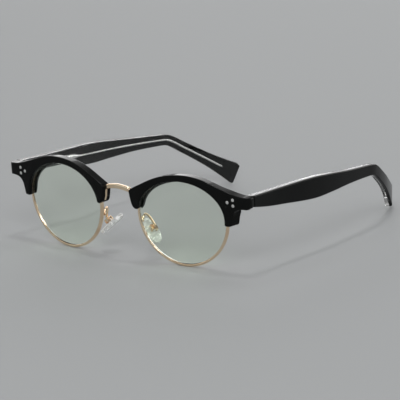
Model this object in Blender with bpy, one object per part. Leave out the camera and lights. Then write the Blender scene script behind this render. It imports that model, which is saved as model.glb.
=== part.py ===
"""Browline eyeglasses: acetate brows over full metal rims, riveted hinges and wire-cored temples.

Metres, +Z up, the front faces -Y and the temples run to +Y. The glasses stand open on their rims and
temple tips, with the origin at the middle of that footprint. Left and right are the wearer's: left is +X.
Each paired piece is built on the left and mirrored to the right.
"""
import math

import bmesh
import bpy
import numpy as np
from mathutils import Matrix, Vector

# Rim and lens, measured on the rim wire's centre line
RIM_GAP_AT_NOSE = 0.02223
RIM_HALF_WIDTH = 0.02345
RIM_UPPER_HEIGHT = 0.0172
RIM_LOWER_HEIGHT = 0.0235
RIM_THICKNESS = 0.0012
RIM_DEPTH = 0.0020
RIM_GROOVE_DEPTH = 0.00045
RIM_GROOVE_MOUTH = 0.0011
LENS_THICKNESS = 0.0016
LENS_DOME = 0.0016
WRAP_ANGLE = math.radians(6.8)
LEAN_ANGLE = math.radians(4.2)

# Acetate brow
LUG_OVERHANG = 0.0131
BROW_BAND = 0.0026
BROW_DEPTH = 0.0050
BROW_EDGE_ROUND = 0.0005
BROW_LIP_REVEAL = 0.00025
NASAL_LEG_END = 0.0026
TEMPORAL_LEG_END = 0.0019
LUG_CORNER_RADIUS = 0.0030
TOP_SLOPE = 0.0012
TEMPORAL_LEG_FLARE = 0.0020
NASAL_LEG_TAPER = 0.0007

# Bridge and its struts down the nasal slots
BRIDGE_HEIGHT = 0.0022
BRIDGE_DEPTH = 0.0019
BRIDGE_RISE = 0.0043
BRIDGE_BOW = 0.0009
STRUT_THICKNESS = 0.0011

# Closing block of the rim, its screw and its pocket
BLOCK_LEVEL = 0.0018
BLOCK_WIDTH = 0.0016
BLOCK_HEIGHT = 0.00135
BLOCK_DEPTH = 0.0019
BLOCK_SLIT = 0.0003
BLOCK_SCREW_RADIUS = 0.0004
BLOCK_SCREW_HEAD_RADIUS = 0.0007
BLOCK_SCREW_HEAD_HEIGHT = 0.0005

# Front rivets, their places measured from the lug's end and middle
RIVET_RADIUS = 0.00085
RIVET_SPACING_ACROSS = 0.0029
RIVET_SPACING_UP = 0.00275
RIVET_FROM_LUG_END = 0.0084
RIVET_STAND_OUT = 0.0001

# Hinge
LEAF_THICKNESS = 0.0008
BARREL_RADIUS = 0.0013
BARREL_MIDDLE_HEIGHT = 0.0019
BARREL_END_HEIGHT = 0.0014
BARREL_GAP = 0.00015
HINGE_SCREW_RADIUS = 0.00055
HINGE_SCREW_HEAD_RADIUS = 0.0009
HINGE_SCREW_HEAD_HEIGHT = 0.0005
FRONT_LEAF_LENGTH = 0.0082
TEMPLE_LEAF_LENGTH = 0.0110
TEMPLE_LEAF_HEIGHT = 0.0048
TEMPLE_RIVET_RADIUS = 0.0005
TEMPLE_RIVET_DEPTH = 0.0011

# Temple
TEMPLE_REACH = 0.1394
TEMPLE_TUCK = 0.0216
TEMPLE_DROP = 0.0300
TEMPLE_HEIGHT = 0.0100
TEMPLE_THICKNESS = 0.0038
TEMPLE_CORNER = 0.0009
LINING_THICKNESS = 0.0017
LINING_CORNER = 0.0004
CORE_WIRE_RADIUS = 0.00052
CORE_GROOVE_DEPTH = 0.0013
CORE_GROOVE_CLEARANCE = 0.00013
CORE_GROOVE_ENDS = 0.00005

# Nose pads and what carries them
PAD_LENGTH = 0.0138
PAD_WIDTH = 0.0074
PAD_THICKNESS = 0.0021
PAD_BEHIND_RIM = 0.0053
PAD_FROM_MIDDLE = 0.0120
PAD_BELOW_LEVEL = 0.0110
PAD_SPLAY = math.radians(25)
PAD_FRONTAL = math.radians(44)
PAD_BACKWARD = math.radians(18.5)
PAD_BOSS_WIDTH = 0.0019
PAD_BOSS_LENGTH = 0.0022
PAD_BOSS_HEIGHT = 0.0016
PAD_BOX_WALL = 0.00045
PAD_BOX_LENGTH = 0.0030
PAD_BOX_DEPTH = 0.0019
PAD_SCREW_RADIUS = 0.00035
PAD_SCREW_HEAD_RADIUS = 0.0006
PAD_SCREW_HEAD_HEIGHT = 0.0003
PAD_RUNNING_GAP = 0.0004
PAD_ARM_RADIUS = 0.00050
PAD_ARM_LEVEL = 0.0049
PAD_ARM_RISE = 0.0024
PAD_ARM_BOW = 0.0012

# Clearances and overruns
SEAT_GAP = 0.0002
LAMINATE_GAP = 0.0001
BUTT_GAP = 0.0003
SCREW_CLEARANCE = 0.00012
CUT_OVERRUN = 0.0010
WELD_DISTANCE = 0.000001

# Counts
RIM_STEPS = 64
LENS_STEPS = 40
ROUND_STEPS = 16
EDGE_STEPS = 3
TEMPLE_STEPS = 36
PAD_STEPS = 24

# Outline of the brow beyond the rim, as shares of the lug's reach and of the brow's crest
BROW_EDGE_SHARES = (
    (0.645, -0.116), (0.683, -0.116), (0.710, -0.096), (0.721, -0.040), (0.732, 0.061),
    (0.751, 0.172), (0.781, 0.253), (0.831, 0.303), (0.891, 0.321), (0.962, 0.328),
    (0.992, 0.348), (1.000, 0.404), (1.000, 0.530), (0.992, 0.583), (0.962, 0.606),
    (0.874, 0.622), (0.779, 0.655), (0.689, 0.707), (0.577, 0.778), (0.426, 0.879),
    (0.290, 0.955), (0.145, 0.995), (0.000, 1.000), (-0.145, 0.965), (-0.290, 0.894),
    (-0.432, 0.788), (-0.571, 0.646), (-0.667, 0.525), (-0.708, 0.455), (-0.721, 0.374),
    (-0.716, 0.253), (-0.699, 0.167), (-0.672, 0.111), (-0.645, 0.101),
)
LUG_MIDDLE_SHARE = 0.470

# Levels between which the brow's slopes fade, as shares of its crest
TOP_SLOPE_SHARES = (0.35, 0.60)
TEMPORAL_FLARE_SHARES = (0.18, 0.33)
NASAL_TAPER_SHARES = (0.40, 0.60)

# Strut along the nasal edge, bottom to top, as shares like the brow's edge
STRUT_EDGE_SHARES = ((-0.692, 0.152), (-0.705, 0.195), (-0.714, 0.240), (-0.719, 0.285), (-0.722, 0.325))

# Bar of the bridge from the strut's top: share of the way out, of the rise, of the bow and of the height
BRIDGE_SHARES = (
    (0.996, 0.26, 0.06, 0.25), (0.955, 0.50, 0.16, 0.60), (0.860, 0.70, 0.34, 0.88), (0.720, 0.81, 0.54, 1.0),
    (0.560, 0.88, 0.72, 1.0), (0.380, 0.94, 0.86, 1.0), (0.190, 0.98, 0.96, 1.0), (0.000, 1.00, 1.00, 1.0),
)

# Route and section of the temple: reach, tuck inward, drop, height and thickness
TEMPLE_ROUTE_SHARES = (
    (0.000, 0.000, 0.000, 0.60, 1.00), (0.085, 0.028, 0.040, 0.70, 1.00), (0.172, 0.041, 0.066, 0.82, 1.00),
    (0.339, 0.052, 0.113, 1.01, 0.98), (0.454, 0.080, 0.134, 0.87, 0.95), (0.570, 0.146, 0.160, 0.66, 0.91),
    (0.686, 0.232, 0.198, 0.55, 0.87), (0.744, 0.272, 0.252, 0.54, 0.85), (0.802, 0.340, 0.368, 0.56, 0.85),
    (0.860, 0.466, 0.525, 0.61, 0.87), (0.918, 0.663, 0.705, 0.72, 0.89), (0.975, 0.882, 0.890, 0.90, 0.89),
    (0.994, 0.972, 0.960, 0.95, 0.87), (1.000, 1.000, 0.982, 0.86, 0.80),
)
CORE_START_SHARE = 0.12
CORE_END_SHARE = 0.93
CORE_SLACK_SHARE = 0.01

# Pad arm: shares of the way from rim to box, of its rise and of its bow towards the nose
ARM_ROUTE_SHARES = (
    (0.0, 0.0, 0.0), (0.12, 0.80, 0.20), (0.33, 1.50, 0.75), (0.58, 1.58, 1.00), (0.80, 1.10, 0.75), (1.0, 0.0, 0.0),
)

# Pad outline: swell of the half width from top to bottom, and rings through its thickness
PAD_SWELL_SHARE = 0.14
PAD_RING_SHARES = ((-0.50, 0.84), (-0.25, 0.98), (0.20, 1.00), (0.42, 0.90), (0.50, 0.76))
LENS_RING_SHARES = (0.30, 0.65, 1.0)

ACETATE = ("black_acetate", (0.012, 0.013, 0.013), 0.12, 0.0)
LINING = ("clear_acetate", (0.55, 0.55, 0.53), 0.10, 0.0)
GOLD = ("champagne_metal", (0.83, 0.62, 0.44), 0.22, 1.0)
STEEL = ("steel", (0.66, 0.66, 0.65), 0.25, 1.0)
LENS = ("tinted_lens", (0.46, 0.52, 0.45), 0.05, 0.0)
SILICONE = ("silicone", (0.80, 0.82, 0.80), 0.18, 0.0)


def clear_scene():
    """Removes whatever the scene holds, so the model is all that is left."""
    for obj in list(bpy.data.objects):
        bpy.data.objects.remove(obj, do_unlink=True)


def new_collection(name):
    collection = bpy.data.collections.new(name)
    bpy.context.scene.collection.children.link(collection)
    return collection


clear_scene()
PARTS = new_collection("browline_eyeglasses")
CUTTERS = new_collection("cutters")


def make_material(name, finish):
    label, colour, roughness, metallic = finish
    material = bpy.data.materials.new(name + "_" + label)
    material.use_nodes = True
    shader = material.node_tree.nodes["Principled BSDF"]
    shader.inputs["Base Color"].default_value = (*colour, 1.0)
    shader.inputs["Roughness"].default_value = roughness
    shader.inputs["Metallic"].default_value = metallic
    material.diffuse_color = (*colour, 1.0)
    return material


def link_mesh(name, mesh, matrix=Matrix.Identity(4)):
    """Puts a mesh in the cutters' collection, where it stays a guide until it is settled as a part."""
    obj = bpy.data.objects.new(name, mesh)
    CUTTERS.objects.link(obj)
    obj.matrix_world = matrix
    obj.hide_render = True
    obj.display_type = "WIRE"
    return obj


def smooth(points, steps):
    """Catmull-Rom curve through the rows of an array, with the given steps between neighbours."""
    rows = np.asarray(points, float)
    padded = np.vstack([2 * rows[0] - rows[1], rows, 2 * rows[-1] - rows[-2]])
    share = np.linspace(0, 1, steps, endpoint=False)[:, None]
    pieces = []
    for before, start, end, after in zip(padded, padded[1:], padded[2:], padded[3:]):
        linear = end - before
        square = 2 * before - 5 * start + 4 * end - after
        cube = 3 * start - before - 3 * end + after
        pieces.append(start + (linear * share + square * share**2 + cube * share**3) / 2)
    return np.vstack(pieces + [rows[-1:]])


def loft(name, sections, matrix=Matrix.Identity(4)):
    """Skins a row of closed sections with the same number of points, caps both ends and triangulates."""
    sections = np.asarray(sections, float)
    count, around = sections.shape[:2]
    shell = bmesh.new()
    rings = [[shell.verts.new(point) for point in section] for section in sections]
    for ring, following in zip(rings, rings[1:]):
        for here in range(around):
            there = (here + 1) % around
            shell.faces.new((ring[here], ring[there], following[there], following[here]))
    shell.faces.new(rings[0][::-1])
    shell.faces.new(rings[count - 1])
    bmesh.ops.recalc_face_normals(shell, faces=shell.faces)
    bmesh.ops.triangulate(shell, faces=shell.faces)
    mesh = bpy.data.meshes.new(name)
    shell.to_mesh(mesh)
    shell.free()
    return link_mesh(name, mesh, matrix)


def as_mesh(obj):
    """Turns an object with its modifiers into one welded mesh object under the same name."""
    bpy.context.view_layer.update()
    evaluated = obj.evaluated_get(bpy.context.evaluated_depsgraph_get())
    mesh = bpy.data.meshes.new_from_object(evaluated)
    shell = bmesh.new()
    shell.from_mesh(mesh)
    bmesh.ops.remove_doubles(shell, verts=shell.verts, dist=WELD_DISTANCE)
    shell.to_mesh(mesh)
    shell.free()
    matrix = obj.matrix_world.copy()
    name = obj.name
    bpy.data.objects.remove(obj, do_unlink=True)
    return link_mesh(name, mesh, matrix)


def plate(name, outline, thickness, matrix):
    """Flat plate from a 2D outline, thickness shared evenly to both sides of its plane."""
    curve = bpy.data.curves.new(name, "CURVE")
    curve.dimensions = "2D"
    curve.fill_mode = "BOTH"
    curve.extrude = thickness / 2
    spline = curve.splines.new("POLY")
    spline.points.add(len(outline) - 1)
    for point, (across, up) in zip(spline.points, outline):
        point.co = (across, up, 0, 1)
    spline.use_cyclic_u = True
    obj = bpy.data.objects.new(name, curve)
    CUTTERS.objects.link(obj)
    obj.matrix_world = matrix
    return as_mesh(obj)


def wire(name, points, radius, matrix=Matrix.Identity(4)):
    """Round wire along a polyline, with closed ends."""
    curve = bpy.data.curves.new(name, "CURVE")
    curve.dimensions = "3D"
    curve.bevel_depth = radius
    curve.bevel_resolution = 2
    curve.use_fill_caps = True
    spline = curve.splines.new("POLY")
    spline.points.add(len(points) - 1)
    for point, place in zip(spline.points, points):
        point.co = (*place, 1)
    obj = bpy.data.objects.new(name, curve)
    CUTTERS.objects.link(obj)
    obj.matrix_world = matrix
    return as_mesh(obj)


def block(name, low, high, matrix=Matrix.Identity(4)):
    """Box between two corners of a local frame."""
    low, high = Vector(low), Vector(high)
    shell = bmesh.new()
    place = Matrix.Translation((low + high) / 2) @ Matrix.Diagonal((*(high - low), 1))
    bmesh.ops.create_cube(shell, size=1, matrix=place)
    mesh = bpy.data.meshes.new(name)
    shell.to_mesh(mesh)
    shell.free()
    return link_mesh(name, mesh, matrix)


def cylinder(name, foot, head, radius, matrix=Matrix.Identity(4), steps=ROUND_STEPS):
    """Cylinder from the foot point to the head point of a local frame."""
    foot, head = Vector(foot), Vector(head)
    axis = head - foot
    turn = Vector((0, 0, 1)).rotation_difference(axis).to_matrix().to_4x4()
    place = Matrix.Translation((foot + head) / 2) @ turn
    shell = bmesh.new()
    bmesh.ops.create_cone(shell, cap_ends=True, segments=steps, radius1=radius, radius2=radius,
                          depth=axis.length, matrix=place)
    mesh = bpy.data.meshes.new(name)
    shell.to_mesh(mesh)
    shell.free()
    return link_mesh(name, mesh, matrix)


def combine(obj, tools, operation):
    """Applies one Boolean for each tool in turn and removes the tools."""
    for tool in tools:
        modifier = obj.modifiers.new(tool.name, "BOOLEAN")
        modifier.operation = operation
        modifier.solver = "EXACT"
        modifier.object = tool
    result = as_mesh(obj)
    for tool in tools:
        bpy.data.objects.remove(tool, do_unlink=True)
    return result


def settle(obj, name, finish, origin, side):
    """Links a finished piece as a part, on the left (side 1) or mirrored to the right (side -1)."""
    mesh = obj.data.copy()
    mesh.transform(obj.matrix_world)
    mesh.transform(Matrix.Diagonal((side, 1, 1, 1)))
    if side < 0:
        mesh.flip_normals()
    place = Vector((side * origin.x, origin.y, origin.z))
    mesh.transform(Matrix.Translation(-place))
    mesh.name = name
    mesh.materials.clear()
    mesh.materials.append(make_material(name, finish))
    mesh.shade_smooth()
    mesh.set_sharp_from_angle(angle=math.radians(35))
    part = bpy.data.objects.new(name, mesh)
    part.location = place
    PARTS.objects.link(part)
    return part


def settle_pair(obj, name, finish, origin):
    """Settles a left-hand piece and its mirror image."""
    pair = settle(obj, name + "_left", finish, origin, 1), settle(obj, name + "_right", finish, origin, -1)
    bpy.data.objects.remove(obj, do_unlink=True)
    return pair


def lens_plane():
    """Frame of the left lens: across to the temple, up, and forward, at the rim's widest level."""
    upright = Matrix(((1, 0, 0, 0), (0, 0, -1, 0), (0, 1, 0, 0), (0, 0, 0, 1)))
    turned = Matrix.Rotation(LEAN_ANGLE, 4, "X") @ Matrix.Rotation(WRAP_ANGLE, 4, "Z") @ upright
    from_middle = RIM_GAP_AT_NOSE / 2 + RIM_HALF_WIDTH * math.cos(WRAP_ANGLE)
    return Matrix.Translation((from_middle, 0, 0)) @ turned


PLANE = lens_plane()
PLANE_ORIGIN = PLANE.to_translation()
LUG_REACH = RIM_HALF_WIDTH + LUG_OVERHANG
BROW_CREST = RIM_UPPER_HEIGHT + BROW_BAND
LUG_MIDDLE = BROW_CREST * LUG_MIDDLE_SHARE
BACK_FACE = -BROW_DEPTH / 2


def rim_outline(offset, angles):
    """Points and outward normals of the rim's line: half an ellipse above, a deeper half below."""
    across = RIM_HALF_WIDTH * np.cos(angles)
    height = np.where(np.sin(angles) > 0, RIM_UPPER_HEIGHT, RIM_LOWER_HEIGHT)
    up = height * np.sin(angles)
    normal = np.stack([np.cos(angles) / RIM_HALF_WIDTH, np.sin(angles) / height], axis=-1)
    normal /= np.linalg.norm(normal, axis=-1, keepdims=True)
    return np.stack([across, up], axis=-1) + normal * offset, normal


def rim_sections(profile, angles):
    """Sections of a strip that follows the rim, from (outward, forward) profile points."""
    line, normal = rim_outline(0, angles)
    profile = np.asarray(profile, float)
    flat = line[:, None, :] + normal[:, None, :] * profile[None, :, :1]
    forward = np.broadcast_to(profile[None, :, 1:], flat.shape[:2] + (1,))
    return np.concatenate([flat, forward], axis=-1)


def rim_angle(level):
    """Angle on the temple side where the rim passes a level."""
    return math.asin(level / (RIM_UPPER_HEIGHT if level > 0 else RIM_LOWER_HEIGHT))


def brow_point(across_share, up_share):
    return LUG_REACH * across_share, BROW_CREST * up_share


def brow_outline():
    """Whole outline of the brow: down the rim's line inside, and back over the outer edge."""
    angles = np.linspace(math.pi - rim_angle(NASAL_LEG_END), rim_angle(-TEMPORAL_LEG_END), RIM_STEPS // 2)
    inner = rim_outline(-BROW_LIP_REVEAL, angles)[0]
    outer = smooth([brow_point(*shares) for shares in BROW_EDGE_SHARES], EDGE_STEPS - 1)
    return np.vstack([inner, outer])


def brow_rings():
    """The brow's outline carried through its depth, drawn in at the back and front to round its edges."""
    outline = brow_outline()
    ahead = np.roll(outline, -1, axis=0) - outline
    ahead /= np.linalg.norm(ahead, axis=1, keepdims=True)
    inward = np.stack([-ahead[:, 1], ahead[:, 0]], axis=-1)
    mitre = inward + np.roll(inward, 1, axis=0)
    mitre /= np.linalg.norm(mitre, axis=1, keepdims=True)
    turn = np.linspace(0, math.pi / 2, EDGE_STEPS)
    inset = BROW_EDGE_ROUND * (1 - np.cos(turn))
    depth = BROW_DEPTH / 2 - BROW_EDGE_ROUND * (1 - np.sin(turn))
    rings = []
    for inward_by, forward in zip([*inset[::-1], *inset], [*-depth[::-1], *depth]):
        rings.append(np.column_stack([outline + mitre * inward_by, np.full(len(outline), forward)]))
    return rings


def bridge_route():
    """Half of the bridge's line, from the foot of the left strut to the middle, with its thickness."""
    inset = Vector(((STRUT_THICKNESS + NASAL_LEG_TAPER) / 2, 0, 0))
    strut = [PLANE @ (Vector((*brow_point(*shares), 0)) + inset) for shares in STRUT_EDGE_SHARES]
    top = strut[-1]
    route = [(*point, STRUT_THICKNESS) for point in strut]
    for out, rise, bow, height in BRIDGE_SHARES:
        thickness = STRUT_THICKNESS + (BRIDGE_HEIGHT - STRUT_THICKNESS) * height
        route.append((top.x * out, top.y - BRIDGE_BOW * bow, top.z + BRIDGE_RISE * rise, thickness))
    return route


def bridge_sections(clearance):
    """Rounded sections square to the bridge's line, from the left foot to the right one."""
    half = bridge_route()
    mirrored = [(-x, y, z, size) for x, y, z, size in half[-2::-1]]
    route = smooth(half + mirrored, EDGE_STEPS - 1)
    line, thickness = route[:, :3], route[:, 3]
    tangent = np.gradient(line, axis=0)
    tangent /= np.linalg.norm(tangent, axis=1, keepdims=True)
    depth_way = np.broadcast_to(np.array([0.0, 1.0, 0.0]), line.shape)
    across = np.cross(depth_way, tangent)
    across /= np.linalg.norm(across, axis=1, keepdims=True)
    corners = np.linspace(0, 2 * math.pi, ROUND_STEPS // 2, endpoint=False)
    round_x = np.sign(np.cos(corners)) * np.sqrt(np.abs(np.cos(corners)))
    round_y = np.sign(np.sin(corners)) * np.sqrt(np.abs(np.sin(corners)))
    wide = (thickness / 2 + clearance)[:, None, None] * round_x[None, :, None] * across[:, None, :]
    deep = (BRIDGE_DEPTH / 2 + clearance) * round_y[None, :, None] * depth_way[:, None, :]
    return line[:, None, :] + wide + deep


def rivet_places():
    """Places of the three rivets in the lens plane: one towards the lens, two beyond it."""
    inner = LUG_REACH - RIVET_FROM_LUG_END - RIVET_SPACING_ACROSS
    outer = LUG_REACH - RIVET_FROM_LUG_END
    rise = RIVET_SPACING_UP / 2
    return ((inner, LUG_MIDDLE), (outer, LUG_MIDDLE + rise), (outer, LUG_MIDDLE - rise))


def block_bounds():
    """Corners of the closing block's two halves together, in the lens plane."""
    line = rim_outline(RIM_THICKNESS / 2 + SEAT_GAP, np.array([rim_angle(BLOCK_LEVEL)]))[0][0]
    reach = BLOCK_HEIGHT + BLOCK_SLIT / 2
    return (line[0], BLOCK_LEVEL - reach, -BLOCK_DEPTH / 2), (line[0] + BLOCK_WIDTH, BLOCK_LEVEL + reach, BLOCK_DEPTH / 2)


def build_rim_and_lens():
    half = RIM_THICKNESS / 2
    deep = RIM_DEPTH / 2
    mouth = RIM_GROOVE_MOUTH / 2
    level = rim_angle(BLOCK_LEVEL)
    slit = BLOCK_SLIT / 2 / RIM_UPPER_HEIGHT
    angles = np.linspace(level + slit, level - slit + 2 * math.pi, RIM_STEPS)
    profile = ((half, deep), (half, -deep), (-half, -deep), (-half, -mouth), (RIM_GROOVE_DEPTH - half, 0),
               (-half, mouth), (-half, deep))
    rim = loft("rim", rim_sections(profile, angles), PLANE)
    settle_pair(rim, "rim", GOLD, PLANE_ORIGIN)

    turn = np.linspace(0, 2 * math.pi, LENS_STEPS, endpoint=False)
    edge = half + SEAT_GAP
    edge_line = rim_outline(-edge, turn)[0]
    apex_line = rim_outline(RIM_GROOVE_DEPTH - edge, turn)[0]
    flank = mouth - SEAT_GAP
    rings = []
    for share in LENS_RING_SHARES:
        height = LENS_DOME * (1 - share**2) + flank
        rings.append(np.column_stack([edge_line * share, np.full(LENS_STEPS, height)]))
    rings.append(np.column_stack([apex_line, np.zeros(LENS_STEPS)]))
    for share in reversed(LENS_RING_SHARES):
        height = LENS_DOME * (1 - share**2) + flank - LENS_THICKNESS * (1 - share) - 2 * flank * share
        rings.append(np.column_stack([edge_line * share, np.full(LENS_STEPS, height)]))
    settle_pair(loft("lens", rings, PLANE), "lens", LENS, PLANE_ORIGIN)


def build_brow():
    rough = loft("brow", brow_rings(), PLANE)
    taper_brow(rough)
    tools = [lug_corner_cutter()]
    wall = RIM_THICKNESS / 2 + SEAT_GAP
    deep = RIM_DEPTH / 2 + SEAT_GAP
    inside = RIM_THICKNESS / 2 + CUT_OVERRUN
    ends = rim_angle(-TEMPORAL_LEG_END) - CUT_OVERRUN / RIM_HALF_WIDTH * 2
    far = math.pi - rim_angle(NASAL_LEG_END) + CUT_OVERRUN / RIM_HALF_WIDTH * 2
    angles = np.linspace(ends, far, RIM_STEPS // 2)
    profile = ((wall, deep), (wall, -deep), (-inside, -deep), (-inside, deep))
    tools.append(loft("rim_slot", rim_sections(profile, angles), PLANE))
    tools.append(loft("bridge_slot", bridge_sections(SEAT_GAP)))
    low, high = block_bounds()
    head = BLOCK_SCREW_HEAD_HEIGHT + SEAT_GAP
    pocket_low = (low[0] - RIM_THICKNESS, low[1] - head - SEAT_GAP, BACK_FACE - CUT_OVERRUN)
    pocket_high = (high[0] + SEAT_GAP, high[1] + SEAT_GAP, high[2] + SEAT_GAP)
    tools.append(block("block_pocket", pocket_low, pocket_high, PLANE))
    for number, (across, up) in enumerate(rivet_places()):
        front = BROW_DEPTH / 2 + CUT_OVERRUN
        tools.append(cylinder(f"rivet_hole_{number}", (across, up, -front), (across, up, front),
                              RIVET_RADIUS + SCREW_CLEARANCE, PLANE))
    brow = combine(rough, tools, "DIFFERENCE")
    settle_pair(brow, "brow", ACETATE, PLANE_ORIGIN)


def ramp(value, low, high):
    """Smooth step from 0 at the low level to 1 at the high one."""
    share = min(max((value - low) / (high - low), 0), 1)
    return share * share * (3 - 2 * share)


def taper_brow(obj):
    """Slopes the brow's top down to the back and leans the outer sides of both legs."""
    for vertex in obj.data.vertices:
        across, up, forward = vertex.co
        height = RIM_UPPER_HEIGHT if up > 0 else RIM_LOWER_HEIGHT
        outside = ramp(math.hypot(across / RIM_HALF_WIDTH, up / height), 1, 1 + BROW_BAND / RIM_HALF_WIDTH)
        back = (BROW_DEPTH / 2 - forward) / BROW_DEPTH
        level = up / BROW_CREST
        vertex.co.y -= TOP_SLOPE * back * outside * ramp(level, *TOP_SLOPE_SHARES)
        if across > 0:
            vertex.co.x += TEMPORAL_LEG_FLARE * back * outside * (1 - ramp(level, *TEMPORAL_FLARE_SHARES))
        else:
            vertex.co.x += NASAL_LEG_TAPER * (1 - back) * outside * (1 - ramp(level, *NASAL_TAPER_SHARES))


def lug_corner_cutter():
    """Sliver outside the rounded front corner of the lug, seen from above."""
    reach = LUG_REACH + CUT_OVERRUN
    front = BROW_DEPTH / 2 + CUT_OVERRUN
    centre_across = LUG_REACH - LUG_CORNER_RADIUS
    centre_forward = BROW_DEPTH / 2 - LUG_CORNER_RADIUS
    angles = np.linspace(0, math.pi / 2, 2 * EDGE_STEPS + 1)
    arc = [(centre_across + LUG_CORNER_RADIUS * math.cos(angle), centre_forward + LUG_CORNER_RADIUS * math.sin(angle))
           for angle in angles]
    plan = [(reach, centre_forward), *arc, (centre_across, front), (reach, front)]
    low, high = -BROW_CREST, BROW_CREST
    sections = [[(across, level, forward) for across, forward in plan] for level in (low, high)]
    return loft("lug_corner", sections, PLANE)


def build_bridge():
    bar = loft("bridge_bar", bridge_sections(0))
    settle(bar, "bridge", GOLD, Vector((0, 0, 0)), 1)
    bpy.data.objects.remove(bar, do_unlink=True)


def build_closing_block():
    low, high = block_bounds()
    middle = BLOCK_LEVEL
    half_slit = BLOCK_SLIT / 2
    centre = (low[0] + high[0]) / 2
    hole = BLOCK_SCREW_RADIUS + SCREW_CLEARANCE
    for name, bottom, top in (("closing_block_lower", low[1], middle - half_slit),
                              ("closing_block_upper", middle + half_slit, high[1])):
        body = block(name, (low[0], bottom, low[2]), (high[0], top, high[2]), PLANE)
        bore = cylinder("bore", (centre, bottom - CUT_OVERRUN, 0), (centre, top + CUT_OVERRUN, 0), hole, PLANE)
        settle_pair(combine(body, [bore], "DIFFERENCE"), name, GOLD, PLANE_ORIGIN)
    foot = low[1] - SEAT_GAP
    shank = cylinder("closing_screw", (centre, foot - BLOCK_SCREW_HEAD_HEIGHT / 2, 0), (centre, high[1], 0),
                     BLOCK_SCREW_RADIUS, PLANE)
    head = cylinder("head", (centre, foot - BLOCK_SCREW_HEAD_HEIGHT, 0), (centre, foot, 0),
                    BLOCK_SCREW_HEAD_RADIUS, PLANE)
    settle_pair(combine(shank, [head], "UNION"), "closing_screw", STEEL, PLANE_ORIGIN)


def hinge_pivot():
    """Middle of the hinge in the world frame: inside the temple, just behind the lug's back face."""
    lug_end = PLANE @ Vector((LUG_REACH, LUG_MIDDLE, BACK_FACE))
    inner_face = lug_end.x - TEMPLE_THICKNESS
    across = inner_face - SEAT_GAP - BARREL_RADIUS
    at_back = back_face_point(across, lug_end.z)
    return Vector((across, at_back + SEAT_GAP + BARREL_RADIUS, lug_end.z))


def back_face_point(across, level):
    """Depth of the lug's back face at a place across and up."""
    normal = PLANE.to_3x3() @ Vector((0, 0, 1))
    anchor = PLANE @ Vector((LUG_REACH, LUG_MIDDLE, BACK_FACE))
    return anchor.y - ((across - anchor.x) * normal.x + (level - anchor.z) * normal.z) / normal.y


def build_front_rivets():
    back = BACK_FACE - SEAT_GAP - LEAF_THICKNESS - RIVET_STAND_OUT
    front = BROW_DEPTH / 2 + RIVET_STAND_OUT
    for place, (across, up) in zip(("inner", "upper", "lower"), rivet_places()):
        name = "front_rivet_" + place
        rivet = cylinder(name, (across, up, back), (across, up, front), RIVET_RADIUS, PLANE)
        settle_pair(rivet, name, STEEL, PLANE_ORIGIN)


def build_front_hinge(pivot):
    local = PLANE.inverted() @ pivot
    reach = BARREL_MIDDLE_HEIGHT / 2 + BARREL_GAP + BARREL_END_HEIGHT
    notch = BARREL_MIDDLE_HEIGHT / 2 + BARREL_GAP
    clear = local.x - BARREL_RADIUS - SEAT_GAP
    far = clear - FRONT_LEAF_LENGTH
    chamfer = RIVET_RADIUS
    outline = [(far, local.y - reach + chamfer), (far + chamfer, local.y - reach), (local.x, local.y - reach),
               (local.x, local.y - notch), (clear, local.y - notch), (clear, local.y + notch),
               (local.x, local.y + notch), (local.x, local.y + reach), (far + chamfer, local.y + reach),
               (far, local.y + reach - chamfer)]
    seat = BACK_FACE - SEAT_GAP - LEAF_THICKNESS / 2
    leaf = plate("front_hinge", outline, LEAF_THICKNESS, PLANE @ Matrix.Translation((0, 0, seat)))
    ends = []
    for way in (-1, 1):
        inner = pivot + Vector((0, 0, way * notch))
        outer = pivot + Vector((0, 0, way * reach))
        ends.append(cylinder(f"barrel_{way}", inner, outer, BARREL_RADIUS))
    leaf = combine(leaf, ends, "UNION")
    overrun = Vector((0, 0, reach + CUT_OVERRUN))
    holes = [cylinder("pin_hole", pivot - overrun, pivot + overrun, HINGE_SCREW_RADIUS + SCREW_CLEARANCE)]
    for number, (across, up) in enumerate(rivet_places()):
        holes.append(cylinder(f"leaf_hole_{number}", (across, up, seat - LEAF_THICKNESS), (across, up, seat + LEAF_THICKNESS),
                              RIVET_RADIUS + SCREW_CLEARANCE, PLANE))
    settle_pair(combine(leaf, holes, "DIFFERENCE"), "front_hinge", STEEL, pivot)


def temple_leaf_frame(pivot):
    """Frame of the temple's leaf: along the temple, up, and outward, on the temple's inner face."""
    route = temple_route()
    start, later = route[0], route[TEMPLE_STEPS // 6]
    lean = math.atan2(start[0] - later[0], later[1] - start[1])
    turn = Matrix.Rotation(lean, 4, "Z") @ Matrix(((0, 0, 1, 0), (1, 0, 0, 0), (0, 1, 0, 0), (0, 0, 0, 1)))
    seat = pivot.x + BARREL_RADIUS - LEAF_THICKNESS / 2
    return Matrix.Translation((seat, pivot.y, pivot.z)) @ turn


def temple_leaf_rivets():
    """Places of the temple's two blind rivets along the leaf."""
    return TEMPLE_LEAF_LENGTH / 2, TEMPLE_LEAF_LENGTH - TEMPLE_LEAF_HEIGHT / 3


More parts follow.
